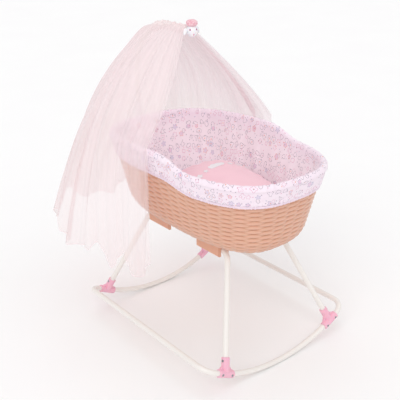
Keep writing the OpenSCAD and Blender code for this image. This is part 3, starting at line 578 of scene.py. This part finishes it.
def points_of(piece):
    """The piece's points, a row for each."""
    points = np.empty(len(piece.data.vertices) * 3, np.float32)
    piece.data.vertices.foreach_get("co", points)
    return points.reshape(-1, 3)


def placed_points(piece, points):
    """Puts the piece's points there."""
    piece.data.vertices.foreach_set("co", points.astype(np.float32).ravel())
    piece.data.update()


def smoothed(piece):
    """Gives the piece one level of subdivision."""
    smoother = piece.modifiers.new("smoother", "SUBSURF")
    smoother.levels = smoother.render_levels = 1


def swollen(name, node_name, voxel, pressure, most):
    """A padded piece: the CAD solid of that name, remeshed evenly and blown up a little as cloth."""
    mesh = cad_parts[node_name].data.copy()
    piece = bpy.data.objects.new(name, mesh)
    bpy.context.scene.collection.objects.link(piece)
    mesh.materials.clear()
    only(piece)
    bpy.ops.object.mode_set(mode="EDIT")
    bpy.ops.mesh.select_all(action="SELECT")
    bpy.ops.mesh.remove_doubles(threshold=0.00002)
    faces_out()
    even = piece.modifiers.new("even", "REMESH")
    even.mode, even.voxel_size = "VOXEL", voxel
    bpy.ops.object.modifier_apply(modifier="even")
    start = points_of(piece)
    cover = piece.modifiers.new("cover", "CLOTH")
    cover.settings.quality = 4
    cover.settings.mass = 0.3
    cover.settings.use_pressure = True
    cover.settings.uniform_pressure_force = pressure
    cover.settings.tension_stiffness = cover.settings.compression_stiffness = 12
    cover.settings.bending_stiffness = 0.4
    cover.settings.effector_weights.gravity = 0
    cover.point_cache.frame_start, cover.point_cache.frame_end = 1, 20
    for number in range(1, 21):
        bpy.context.scene.frame_set(number)
    bpy.ops.object.modifier_apply(modifier="cover")
    bpy.context.scene.frame_set(1)
    step = points_of(piece) - start
    size = np.linalg.norm(step, axis=1, keepdims=True)
    step *= np.minimum(1, most / np.maximum(size, 1e-9))
    placed_points(piece, start + step)
    piece.data.polygons.foreach_set("use_smooth", np.ones(len(piece.data.polygons), bool))
    piece.data.update()
    return piece


foam_pad = swollen("foam_pad", "mattress", 0.006, 1.5, 0.002)
pad_low, pad_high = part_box("mattress")
PAD_REACH = 1.003          # how far out the cover may lie, as a share of the mattress's half sizes


def sewn_pad(p):
    """Keeps the pad inside the liner and on the floor, and pulls its top edge in at the seam."""
    along, across = (np.abs(p[:, axis] / pad_high[axis]) ** PLAN_POWER for axis in (0, 1))
    share = (along + across) ** (1 / PLAN_POWER)
    p[:, 2] = np.clip(p[:, 2], pad_low.z, pad_high.z + 0.0015)
    top = np.clip((p[:, 2] - pad_high.z + 0.006) / 0.006, 0, 1)
    p[:, 2] += top * (0.0012 * np.cos(p[:, 0] * 70) * np.cos(p[:, 1] * 80) - 0.0012)
    squeeze = np.where(share > PAD_REACH, PAD_REACH / share, 1)
    p[:, :2] *= squeeze[:, None]
    return p


def knitted(name, colour, roughness, shades, cloud, threads, depth, strength, **constants):
    """A knitted finish, cloudy between two shades. threads gives the axis and closeness of each way."""
    material, tree, shader = finish(name, colour, roughness, **constants)
    place = own_place(tree)
    cloudy = noise(tree, place, cloud, 4.0)
    coloured(tree, shader, cloudy, *shades)
    parts = node(tree, "SeparateXYZ", {"Vector": place})
    rib, course = (sums(tree, "SINE", product(tree, parts.outputs[axis], close)) for axis, close in threads)
    loops = product(tree, product(tree, rib, course), depth)
    raised(tree, shader, sums(tree, "ADD", loops, cloudy), 0.0006, strength)
    return material


placed_points(foam_pad, sewn_pad(points_of(foam_pad).astype(float)))
smoothed(foam_pad)
pad_finish = knitted("mattress_knit", paint(246, 236, 238), 0.9,
                     shades=(paint(249, 240, 242), paint(240, 226, 230)), cloud=40.0,
                     threads=((0, 5200.0), (1, 4300.0)), depth=0.2, strength=0.5,
                     Sheen_Weight=0.3, Sheen_Roughness=0.5)
foam_pad.data.materials.append(pad_finish)
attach(foam_pad, "basket")
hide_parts("mattress")

# ---- Quilt ----
# A plump pink jersey quilt that lies on the mattress from the chest to the foot end. Its cover is
# soft and unquilted, so it creases lightly at its ends and is full in the middle.
plump_quilt = swollen("plump_quilt", "quilt", 0.005, 4.0, 0.008)
quilt_low, quilt_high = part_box("quilt")
quilt_middle = (quilt_low + quilt_high) / 2


def creased_quilt(p):
    """Flat underneath, with light pulls in from the edges and soft broad ripples over it."""
    u = (p[:, 0] - quilt_middle.x) / (quilt_high.x - quilt_middle.x)
    v = p[:, 1] / quilt_high.y
    over = np.clip((p[:, 2] - quilt_low.z - 0.004) / 0.012, 0, 1)
    rim = np.clip((np.maximum(np.abs(u), np.abs(v)) - 0.45) / 0.5, 0, 1)
    bearing = np.arctan2(v, u)
    pulls = np.cos(17 * bearing + 1.1 * np.sin(5 * bearing))
    pulls += 0.6 * np.cos(29 * bearing + 2.0 * np.cos(4 * bearing) + 1.3)
    broad = np.sin(26 * p[:, 0] + 38 * p[:, 1] + 0.6) * np.sin(19 * p[:, 0] - 30 * p[:, 1] + 2.1)
    p[:, 2] += over * (0.0019 * pulls * rim * (1 - 0.5 * rim) * 2 + 0.0014 * broad)
    p[:, 2] = np.maximum(p[:, 2], quilt_low.z - 0.0002)
    return p


placed_points(plump_quilt, creased_quilt(points_of(plump_quilt).astype(float)))
smoothed(plump_quilt)
quilt_finish = knitted("quilt_jersey", paint(247, 200, 211), 0.88,
                       shades=(paint(250, 211, 220), paint(244, 197, 209)), cloud=18.0,
                       threads=((1, 5600.0), (0, 4200.0)), depth=0.22, strength=0.6,
                       Sheen_Weight=0.4, Sheen_Roughness=0.45)
plump_quilt.data.materials.append(quilt_finish)
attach(plump_quilt, "basket")
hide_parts("quilt")

# ---- Appliqué on the quilt ----
# Small white embroidered patches in a shallow arc across the chest end: a cloud with stars on
# both sides. Each is a thin padded patch, sewn down at its edge.


def star_outline(points, reach, waist, turned):
    """A star with that many points, round its own middle."""
    steps = [(turned + math.pi * k / points, reach if k % 2 == 0 else waist) for k in range(2 * points)]
    return [(r * math.cos(a), r * math.sin(a)) for a, r in steps]


def cloud_outline(width):
    """A cloud: four puffs along the top and a flat underside."""
    outline = []
    puffs = ((-0.32, 0.18, 250, 95), (-0.1, 0.26, 150, 55), (0.16, 0.22, 120, 20), (0.36, 0.15, 100, -70))
    for middle, puff_r, first, last in puffs:
        for k in range(7):
            a = math.radians(first + (last - first) * k / 6)
            outline.append((width * (middle + puff_r * math.cos(a)), width * (puff_r * math.sin(a))))
    return outline[::-1]


patch_finish, tree, shader = finish("embroidery_white", paint(250, 248, 249), 0.55, Sheen_Weight=0.5,
                                    Sheen_Roughness=0.3)
place = own_place(tree)
stitches = node(tree, "TexWave", {"Vector": place, "Scale": 420.0, "Distortion": 1.2},
                bands_direction="DIAGONAL").outputs["Fac"]
coloured(tree, shader, stitches, paint(238, 232, 236), paint(253, 252, 253))
raised(tree, shader, stitches, 0.00025, 0.8)
CHEST_X = quilt_low.x + 0.112
patches = [("cloud_patch", cloud_outline(0.046), CHEST_X - 0.004, 0.0)]
STARS = ((-0.060, 0.0105), (-0.037, 0.0075), (0.037, 0.0075), (0.060, 0.0105), (-0.080, 0.0065),
         (0.080, 0.0065))          # each one's place across the quilt, and its size
for number, (y, reach) in enumerate(STARS):
    outline = star_outline(5, reach, reach * 0.48, 0.4 * number)
    patches.append((f"star_patch_{number + 1}", outline, CHEST_X + 2.2 * y * y, y))
for name, outline, x, y in patches:
    bpy.ops.object.select_all(action="DESELECT")
    bpy.ops.mesh.primitive_circle_add(vertices=len(outline), radius=0.01, fill_type="NGON",
                                      location=(0, 0, quilt_high.z + 0.02))
    patch = bpy.context.object
    patch.name = name
    for vertex, (along_y, up) in zip(patch.data.vertices, outline):
        vertex.co = (x - up, y + along_y, 0)
    bpy.ops.object.transform_apply(location=True, rotation=True, scale=True)
    bpy.ops.object.mode_set(mode="EDIT")
    bpy.ops.mesh.select_all(action="SELECT")
    bpy.ops.mesh.quads_convert_to_tris()
    bpy.ops.mesh.subdivide(number_cuts=3)
    faces_out()
    lay = patch.modifiers.new("lay", "SHRINKWRAP")
    lay.target, lay.wrap_method, lay.use_project_z = plump_quilt, "PROJECT", True
    lay.use_negative_direction, lay.use_positive_direction, lay.offset = True, False, 0.0005
    bpy.ops.object.modifier_apply(modifier="lay")
    thick = patch.modifiers.new("thick", "SOLIDIFY")
    thick.thickness, thick.offset = 0.0009, 0.4
    bpy.ops.object.modifier_apply(modifier="thick")
    rounded = patch.modifiers.new("rounded", "BEVEL")
    rounded.width, rounded.segments, rounded.limit_method, rounded.angle_limit = 0.0003, 2, "ANGLE", 1.0
    bpy.ops.object.modifier_apply(modifier="rounded")
    faces_out()
    bpy.ops.object.shade_smooth_by_angle(angle=0.7)
    patch.data.materials.append(patch_finish)
    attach(patch, "basket")

# ---- Pole ferrule ----
# A moulded white sleeve that joins the pole's two halves, so that the canopy packs flat.
ferrule_finish = skinned("ferrule_plastic", paint(238, 236, 236), 0.45,
                         shades=(paint(241, 239, 239), paint(232, 229, 230)), flow=(60.0,), grain=1300.0,
                         rough=(0.38, 0.52), relief=(0.00005, 0.6))
recoated(("pole_ferrule",), ferrule_finish)

# ---- Veil ----
# One wide piece of fine pink tulle, gathered on the pole's arm and open at the front. It falls as
# a tent round the head half of the basket, in many narrow folds, to a hem in deep scallops.
arm_low, arm_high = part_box("pole_upper")
POLE_RADIUS, POLE_BEND, HEM_HEIGHT, RIM_DROP = 0.0055, 0.140, 0.205, 0.235
ARM_Z, POLE_X = arm_high.z - POLE_RADIUS, arm_low.x + POLE_RADIUS
ARM_START, ARM_END = POLE_X + POLE_BEND, arm_high.x
FULL_DROP = ARM_Z - HEM_HEIGHT
VEIL_EASE = 0.155          # the drop over which the tent spreads most
SLEEVE_HALF, FRONT_HALF, SIDE_HALF = 0.0068, 0.186, 0.233
SCALLOPS, WIDE_FOLDS, FINE_FOLDS, FOLD_PUSH = 4.5, 19, 37, 0.0120
CLOTH_LENGTH = 0.56        # down the cloth, from the arm to the hem
veil_columns, veil_rows = 860, 96


def blend_to(a, b, share):
    """From a to b as share goes from 0 to 1."""
    return a + (b - a) * share


def veil_surface(across, fall):
    """The tent without its folds. across runs from -1, the near front edge, to 1, the far one."""
    drop = fall * FULL_DROP / RIM_DROP
    w, low = np.clip(drop, 0, 1), np.clip((drop - 1) / (FULL_DROP / RIM_DROP - 1), 0, 1)
    k, side = np.abs(across), np.sign(across)
    spread = (1 - np.exp(-fall * FULL_DROP / VEIL_EASE)) / (1 - math.exp(-FULL_DROP / VEIL_EASE))
    front_half = blend_to(SLEEVE_HALF, FRONT_HALF, w ** 0.97) + 0.004 * low
    side_half = blend_to(SLEEVE_HALF, SIDE_HALF, spread)
    front = blend_to(ARM_END - 0.008, 0.005, np.sin(math.pi / 2 * w))
    head = ARM_START - 0.092 - 0.112 * w ** 0.66 - 0.140 * low ** 0.95
    middle = blend_to((ARM_END - 0.008 + ARM_START - 0.092) / 2, -0.190, w)
    power = blend_to(2.2, 2.6, w) + 0.8 * low
    run = np.clip((k - 0.5) * 2, 0, 1)
    turned = math.pi * np.minimum(k, 0.5)
    along_side = k >= 0.5
    round_x, round_y = np.cos(turned).clip(0) ** (2 / power), np.sin(turned) ** (2 / power)
    x = np.where(along_side, blend_to(middle, front, run), middle - (middle - head) * round_x)
    y = side * np.where(along_side, blend_to(side_half, front_half, run), side_half * round_y)
    top = ARM_Z + 0.0085 - 0.024 * (1 - k) ** 2
    hem = HEM_HEIGHT - 0.026 * np.cos(TURN * SCALLOPS * across) + 0.018 * (1 - k) ** 2
    return np.stack([x, y, blend_to(top, hem, fall)], axis=-1)


# Columns are spread evenly along the cloth where it passes the rim
fine = np.linspace(-1, 1, 4001)
rim_line = veil_surface(fine, np.full_like(fine, 0.62))
along = np.concatenate([[0], np.cumsum(np.linalg.norm(np.diff(rim_line, axis=0), axis=1))])
column_at = np.interp(np.linspace(0, along[-1], veil_columns), along, fine)
fall_at = np.linspace(0, 1, veil_rows) ** 1.15
U, F = np.meshgrid(column_at, fall_at)
veil_points = veil_surface(U, F)
s = np.linspace(0, 1, veil_columns)[None, :]
sway = sum(size * np.sin(TURN * count * s + start)
           for size, count, start in ((0.010, 3, 0.7), (0.006, 7, 2.2), (0.003, 13, 4.0)))
drift = 0.010 * np.sin(3.0 * F + 9 * s)
folds = np.sin(TURN * WIDE_FOLDS * (s + sway + drift))
folds = np.sign(folds) * np.abs(folds) ** 0.8
mid_folds = np.sin(TURN * FINE_FOLDS * (s + 0.6 * sway - 0.5 * drift) + 1.0)
strong = 0.55 + 0.45 * np.sin(TURN * 4.3 * s + 1.1)
reach = np.clip(F, 0, 1)
push = FOLD_PUSH * reach ** 0.9 * strong * folds + 0.0026 * reach ** 0.6 * mid_folds + 0.0030 * reach
push += 0.0010 * np.exp(-(F / 0.08) ** 2) * np.sin(TURN * 41 * s)
push *= np.clip(F / 0.02, 0, 1)
edge_hold = np.clip((1 - np.abs(U)) / 0.04, 0.25, 1)
veil_points += outward(veil_points, False) * (push * edge_hold)[..., None]
veil_points[..., 2] -= 0.002 * reach ** 4 * np.abs(folds)
cloth_down = fall_at * CLOTH_LENGTH
tulle_veil = grid_piece("tulle_veil", veil_points, closed=False,
                        uv=(np.linspace(0, along[-1], veil_columns), cloth_down))
density = (0.48 + 0.24 * np.exp(-(F / 0.42) ** 2) - 0.22 * np.exp(-(1 - np.abs(U)) / 0.12)
           + 0.04 * np.sin(TURN * 2.2 * s + 1.0))
marked(tulle_veil, "tulle_density", density)
tulle_finish, tree, shader = finish("tulle", paint(242, 226, 230), 0.75, Sheen_Weight=0.3,
                                    Sheen_Roughness=0.4)
cloth = node(tree, "UVMap", {}, uv_map="cloth").outputs[0]
thick_at = node(tree, "Attribute", {}, attribute_name="tulle_density").outputs["Fac"]
drawn = node(tree, "Mapping", {"Vector": cloth, "Scale": (1.0, 0.035, 1.0)}).outputs[0]
streaks = noise(tree, drawn, 62.0, 2.5, 0.5)
wide_streaks = noise(tree, drawn, 30.0, 2.0)
net = node(tree, "TexVoronoi", {"Vector": cloth, "Scale": 900.0, "Randomness": 0.15},
           voronoi_dimensions="2D", feature="DISTANCE_TO_EDGE").outputs["Distance"]
mesh_line = stretched(tree, sums(tree, "LESS_THAN", net, 0.16), -0.02, 0.02)
woven_share = sums(tree, "ADD", thick_at, stretched(tree, streaks, -0.10, 0.10))
woven_share = sums(tree, "ADD", woven_share, stretched(tree, wide_streaks, -0.12, 0.12))
fallen = node(tree, "SeparateXYZ", {"Vector": cloth}).outputs[1]
hemmed = stretched(tree, fallen, 0.0, 0.28, start=0.5555, end=0.5575)
woven_share = sums(tree, "ADD", sums(tree, "ADD", woven_share, hemmed), mesh_line)
limited = node(tree, "Clamp", {"Value": woven_share, "Min": 0.1, "Max": 0.92}).outputs[0]
tree.links.new(limited, shader.inputs["Alpha"])
coloured(tree, shader, streaks, paint(246, 230, 231), paint(241, 223, 226))
raised(tree, shader, wide_streaks, 0.0010, 0.3)
tulle_veil.data.materials.append(tulle_finish)
tulle_veil.visible_shadow = False
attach(tulle_veil, "canopy")
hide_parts("veil")

# ---- Gathered header of the veil ----
# The veil's top is sewn into a narrow sleeve of the same tulle, pushed together on the pole's
# arm, so that it stands in close ruffles with a frill along the top.
header_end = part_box("veil_header")[1].x
header_turn = math.radians(28)
arc_length = POLE_BEND * header_turn
straight_length = header_end - ARM_START
header_rows, header_columns = 150, 72
PLEAT_PITCH, LUMP_PITCH, FRILL_PITCH, SLEEVE_RADIUS = 0.0066, 0.021, 0.0093, 0.0082
t = np.linspace(0, arc_length + straight_length, header_rows)[:, None]
phi = (np.arange(header_columns) / header_columns * TURN)[None, :]
bend_angle = np.clip((arc_length - t) / POLE_BEND, 0, None)
centre_x = np.where(t < arc_length, ARM_START - POLE_BEND * np.sin(bend_angle), ARM_START + t - arc_length)
centre_z = np.where(t < arc_length, ARM_Z - POLE_BEND * (1 - np.cos(bend_angle)), ARM_Z)
pleat = np.sin(TURN * t / PLEAT_PITCH + 1.3 * np.sin(2 * phi + 90 * t) + 0.9 * np.sin(3 * phi + 1))
lump = np.sin(TURN * t / LUMP_PITCH + 2 * np.sin(phi)) * np.cos(3 * phi + 110 * t)
frill = np.clip(np.cos(phi - math.pi / 2), 0, 1) ** 6
frill_out = 0.0022 + 0.0016 * np.sin(TURN * t / FRILL_PITCH)
radius = SLEEVE_RADIUS + 0.0013 * pleat + 0.0011 * lump + frill * frill_out
end_taper = np.clip(np.minimum(t, t[-1] - t) / 0.004, 0, 1)
radius = blend_to(0.0066, radius, end_taper)
out_x, out_z = np.sin(-bend_angle), np.cos(bend_angle)
header_points = np.stack([centre_x + radius * np.sin(phi) * out_x, radius * np.cos(phi) + 0 * t,
                          centre_z + radius * np.sin(phi) * out_z], axis=-1)
ruffled_header = grid_piece("ruffled_header", header_points, closed=True,
                            uv=(np.linspace(0, 0.06, header_columns + 1), t[:, 0]))
header_finish, tree, shader = finish("header_tulle", paint(248, 216, 212), 0.8, Sheen_Weight=0.35,
                                     Sheen_Roughness=0.4)
place = own_place(tree)
spots = noise(tree, place, 130.0, 3.0)
threads = noise(tree, place, 900.0, 3.0)
spread = stretched(tree, spots, 0.0, 1.0, start=0.35, end=0.65)
coloured(tree, shader, spread, paint(252, 241, 241), paint(249, 228, 229))
tree.links.new(stretched(tree, threads, 0.72, 1.0), shader.inputs["Alpha"])
raised(tree, shader, threads, 0.0004, 0.6)
ruffled_header.data.materials.append(header_finish)
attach(ruffled_header, "canopy")
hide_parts("veil_header")

# ---- Lamb finial ----
# A small moulded lamb's head pushed on the end of the arm: glossy white, with drooping ears, a
# puffy pink wool cap, and printed eyes, nose and mouth in pink.
cap_low, cap_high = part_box("sheep_cap")
LAMB_X, LAMB_Z, LAMB_R = (cap_low.x + cap_high.x) / 2, ARM_Z + 0.002, 0.013
FACE_TURN = -0.32           # the face looks a little to the near side
FACE_WAY = Vector((math.cos(FACE_TURN), math.sin(FACE_TURN), 0))
MUZZLE_OUT = 0.0036


def sculpted(piece, change, smoother=True):
    """Shapes a primitive's points, lays them at the object's own origin and smooths them."""
    only(piece)
    bpy.ops.object.transform_apply(location=True, rotation=True, scale=True)
    placed_points(piece, change(points_of(piece).astype(float)))
    if smoother:
        smoothed(piece)
        bpy.ops.object.modifier_apply(modifier="smoother")
    faces_out()
    bpy.ops.object.shade_smooth()
    return piece


def muzzle(p):
    """Draws the ball down and forward into a rounded muzzle, with soft cheeks."""
    down = np.clip((LAMB_Z + 0.003 - p[:, 2]) / 0.016, 0, 1) ** 1.4
    p[:, 0] = LAMB_X + (p[:, 0] - LAMB_X) * (1 - 0.12 * down) + MUZZLE_OUT * down * FACE_WAY.x
    p[:, 1] = p[:, 1] * (1 - 0.16 * down) + MUZZLE_OUT * down * FACE_WAY.y
    p[:, 2] -= 0.0030 * down
    return p


bpy.ops.object.select_all(action="DESELECT")
bpy.ops.mesh.primitive_uv_sphere_add(segments=40, ring_count=28, radius=LAMB_R,
                                     location=(LAMB_X, 0, LAMB_Z))
lamb_head = bpy.context.object
lamb_head.name = "lamb_head"
sculpted(lamb_head, muzzle)
lamb_white, tree, shader = finish("lamb_white_plastic", paint(247, 247, 250), 0.25, Coat_Weight=0.5,
                                  Coat_Roughness=0.12, Subsurface_Weight=0.1, Subsurface_Scale=0.003)
place = own_place(tree)
shade = noise(tree, place, 90.0, 2.0)
coloured(tree, shader, shade, paint(250, 250, 252), paint(240, 240, 246))
raised(tree, shader, noise(tree, place, 1100.0), 0.00003, 0.4)
lamb_head.data.materials.append(lamb_white)
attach(lamb_head, "canopy")
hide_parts("sheep_head")


def droop(side):
    """One ear: a flat drop, narrow where it leaves the head, that turns down and outward."""
    def change(p):
        t = np.clip((p[:, 0] + 1) / 2, 0, 1)
        wide = 0.0024 + 0.0042 * np.sin(math.pi * np.clip(0.10 + 0.86 * t, 0, 1)) ** 0.8 + 0.0010 * t
        centre_y = 0.0108 + 0.0118 * t
        centre_z = LAMB_Z + 0.0040 - 0.0030 * t - 0.0100 * t ** 2
        fold = 0.0010 * np.cos(math.pi * p[:, 1])
        x = LAMB_X - 0.001 + p[:, 2] * 0.0020 + fold
        y = side * (centre_y + p[:, 1] * wide * 0.55)
        return np.stack([x, y, centre_z + p[:, 1] * wide * 0.75], axis=-1)
    return change


def joined(pieces):
    """Makes one piece of several."""
    only(pieces[0])
    for other in pieces[1:]:
        other.select_set(True)
    bpy.ops.object.join()
    return bpy.context.object


ears = []
for side in (-1, 1):
    bpy.ops.object.select_all(action="DESELECT")
    bpy.ops.mesh.primitive_uv_sphere_add(segments=24, ring_count=16, radius=1, location=(0, 0, 0),
                                         rotation=(0, math.pi / 2, 0))
    ears.append(sculpted(bpy.context.object, droop(side)))
lamb_ears = joined(ears)
lamb_ears.name = "lamb_ears"
lamb_ears.data.materials.append(lamb_white)
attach(lamb_ears, "canopy")
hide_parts("sheep_ears")

# ---- Lamb's wool cap ----
# A puffy pink cap moulded in close round curls, seated on the crown of the head.
bpy.ops.object.select_all(action="DESELECT")
bpy.ops.mesh.primitive_ico_sphere_add(subdivisions=5, radius=1, location=(0, 0, 0))
wool_cap = bpy.context.object
wool_cap.name = "wool_cap"
CURLS, CURL_REACH = 64, 0.30
GOLDEN_ANGLE = math.pi * (3 - math.sqrt(5))
turned = GOLDEN_ANGLE * np.arange(CURLS)
up = 1 - (2 * np.arange(CURLS) + 1) / CURLS
aside = np.sqrt(1 - up * up)
curls = np.stack([aside * np.cos(turned), aside * np.sin(turned), up], axis=-1)


def curly(p):
    """Pushes round curls out of a flattened ball and seats it on the head."""
    near = np.linalg.norm(p[:, None, :] - curls[None, :, :], axis=2).min(axis=1)
    bump = np.clip(1 - (near / CURL_REACH) ** 2, 0, 1)
    p = p * (0.85 + 0.15 * np.sqrt(bump))[:, None]
    middle = (cap_low + cap_high) / 2
    half = (cap_high - cap_low) / 2
    flat = np.sign(p[:, 2]) * np.abs(p[:, 2]) ** 0.75
    return np.stack([middle.x + p[:, 0] * half.x * 1.04, p[:, 1] * half.y * 1.04, middle.z + flat * half.z],
                    axis=-1)


sculpted(wool_cap, curly, smoother=False)
cap_finish, tree, shader = finish("wool_cap_pink", paint(240, 178, 196), 0.6, Sheen_Weight=0.3)
place = own_place(tree)
# Painted highlight on the top of each curl and painted shade in the hollows between the curls.
from_curl = node(tree, "TexVoronoi", {"Vector": place, "Scale": 230.0}).outputs["Distance"]
curl_highlight_and_shade = stretched(tree, from_curl, 0.0, 1.0, start=0.1, end=0.75)
coloured(tree, shader, curl_highlight_and_shade, paint(252, 220, 225), paint(236, 172, 187))
raised(tree, shader, stretched(tree, curl_highlight_and_shade, 1.0, 0.0), 0.0009, 0.8)
wool_cap.data.materials.append(cap_finish)
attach(wool_cap, "canopy")
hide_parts("sheep_cap")

# ---- Lamb's eyes and nose ----
# Small ovals set in the face: two magenta eyes and a pink nose with a mouth line under it.
eye_finish, tree, shader = finish("eye_magenta", paint(172, 62, 122), 0.2, Coat_Weight=0.6)
coloured(tree, shader, noise(tree, own_place(tree), 500.0), paint(178, 66, 128), paint(156, 48, 108))
nose_finish, tree, shader = finish("nose_pink", paint(232, 148, 174), 0.35, Coat_Weight=0.3)
coloured(tree, shader, noise(tree, own_place(tree), 500.0), paint(236, 152, 178), paint(222, 132, 162))


def face_mark(name, y, z, half_wide, half_tall, material):
    """A small domed oval that lies on the face, y to the side of its middle and at the height z."""
    start = Vector((LAMB_X, 0, z)) + FACE_WAY * 0.05 + Vector((-FACE_WAY.y, FACE_WAY.x, 0)) * y
    spot, normal = lamb_head.ray_cast(start, -FACE_WAY)[1:3]
    bpy.ops.object.select_all(action="DESELECT")
    bpy.ops.mesh.primitive_uv_sphere_add(segments=24, ring_count=12, radius=1, location=spot)
    mark = bpy.context.object
    mark.name = name
    mark.rotation_euler = normal.to_track_quat("X", "Z").to_euler()
    mark.scale = (0.0007, half_wide, half_tall)
    sculpted(mark, lambda p: p, smoother=False)
    mark.data.materials.append(material)
    return mark


lamb_eyes = joined([face_mark("lamb_eyes", side * 0.0078, LAMB_Z + 0.0032, 0.0017, 0.0024, eye_finish)
                    for side in (-1, 1)])
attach(lamb_eyes, "canopy")
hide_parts("sheep_eyes")
lamb_nose = joined([face_mark("lamb_nose", 0, LAMB_Z - 0.0072, 0.0019, 0.0013, nose_finish),
                    face_mark("lamb_mouth", 0, LAMB_Z - 0.0098, 0.0003, 0.0014, nose_finish),
                    face_mark("lamb_smile", 0, LAMB_Z - 0.0112, 0.0020, 0.0003, nose_finish)])
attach(lamb_nose, "canopy")
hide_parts("sheep_nose")
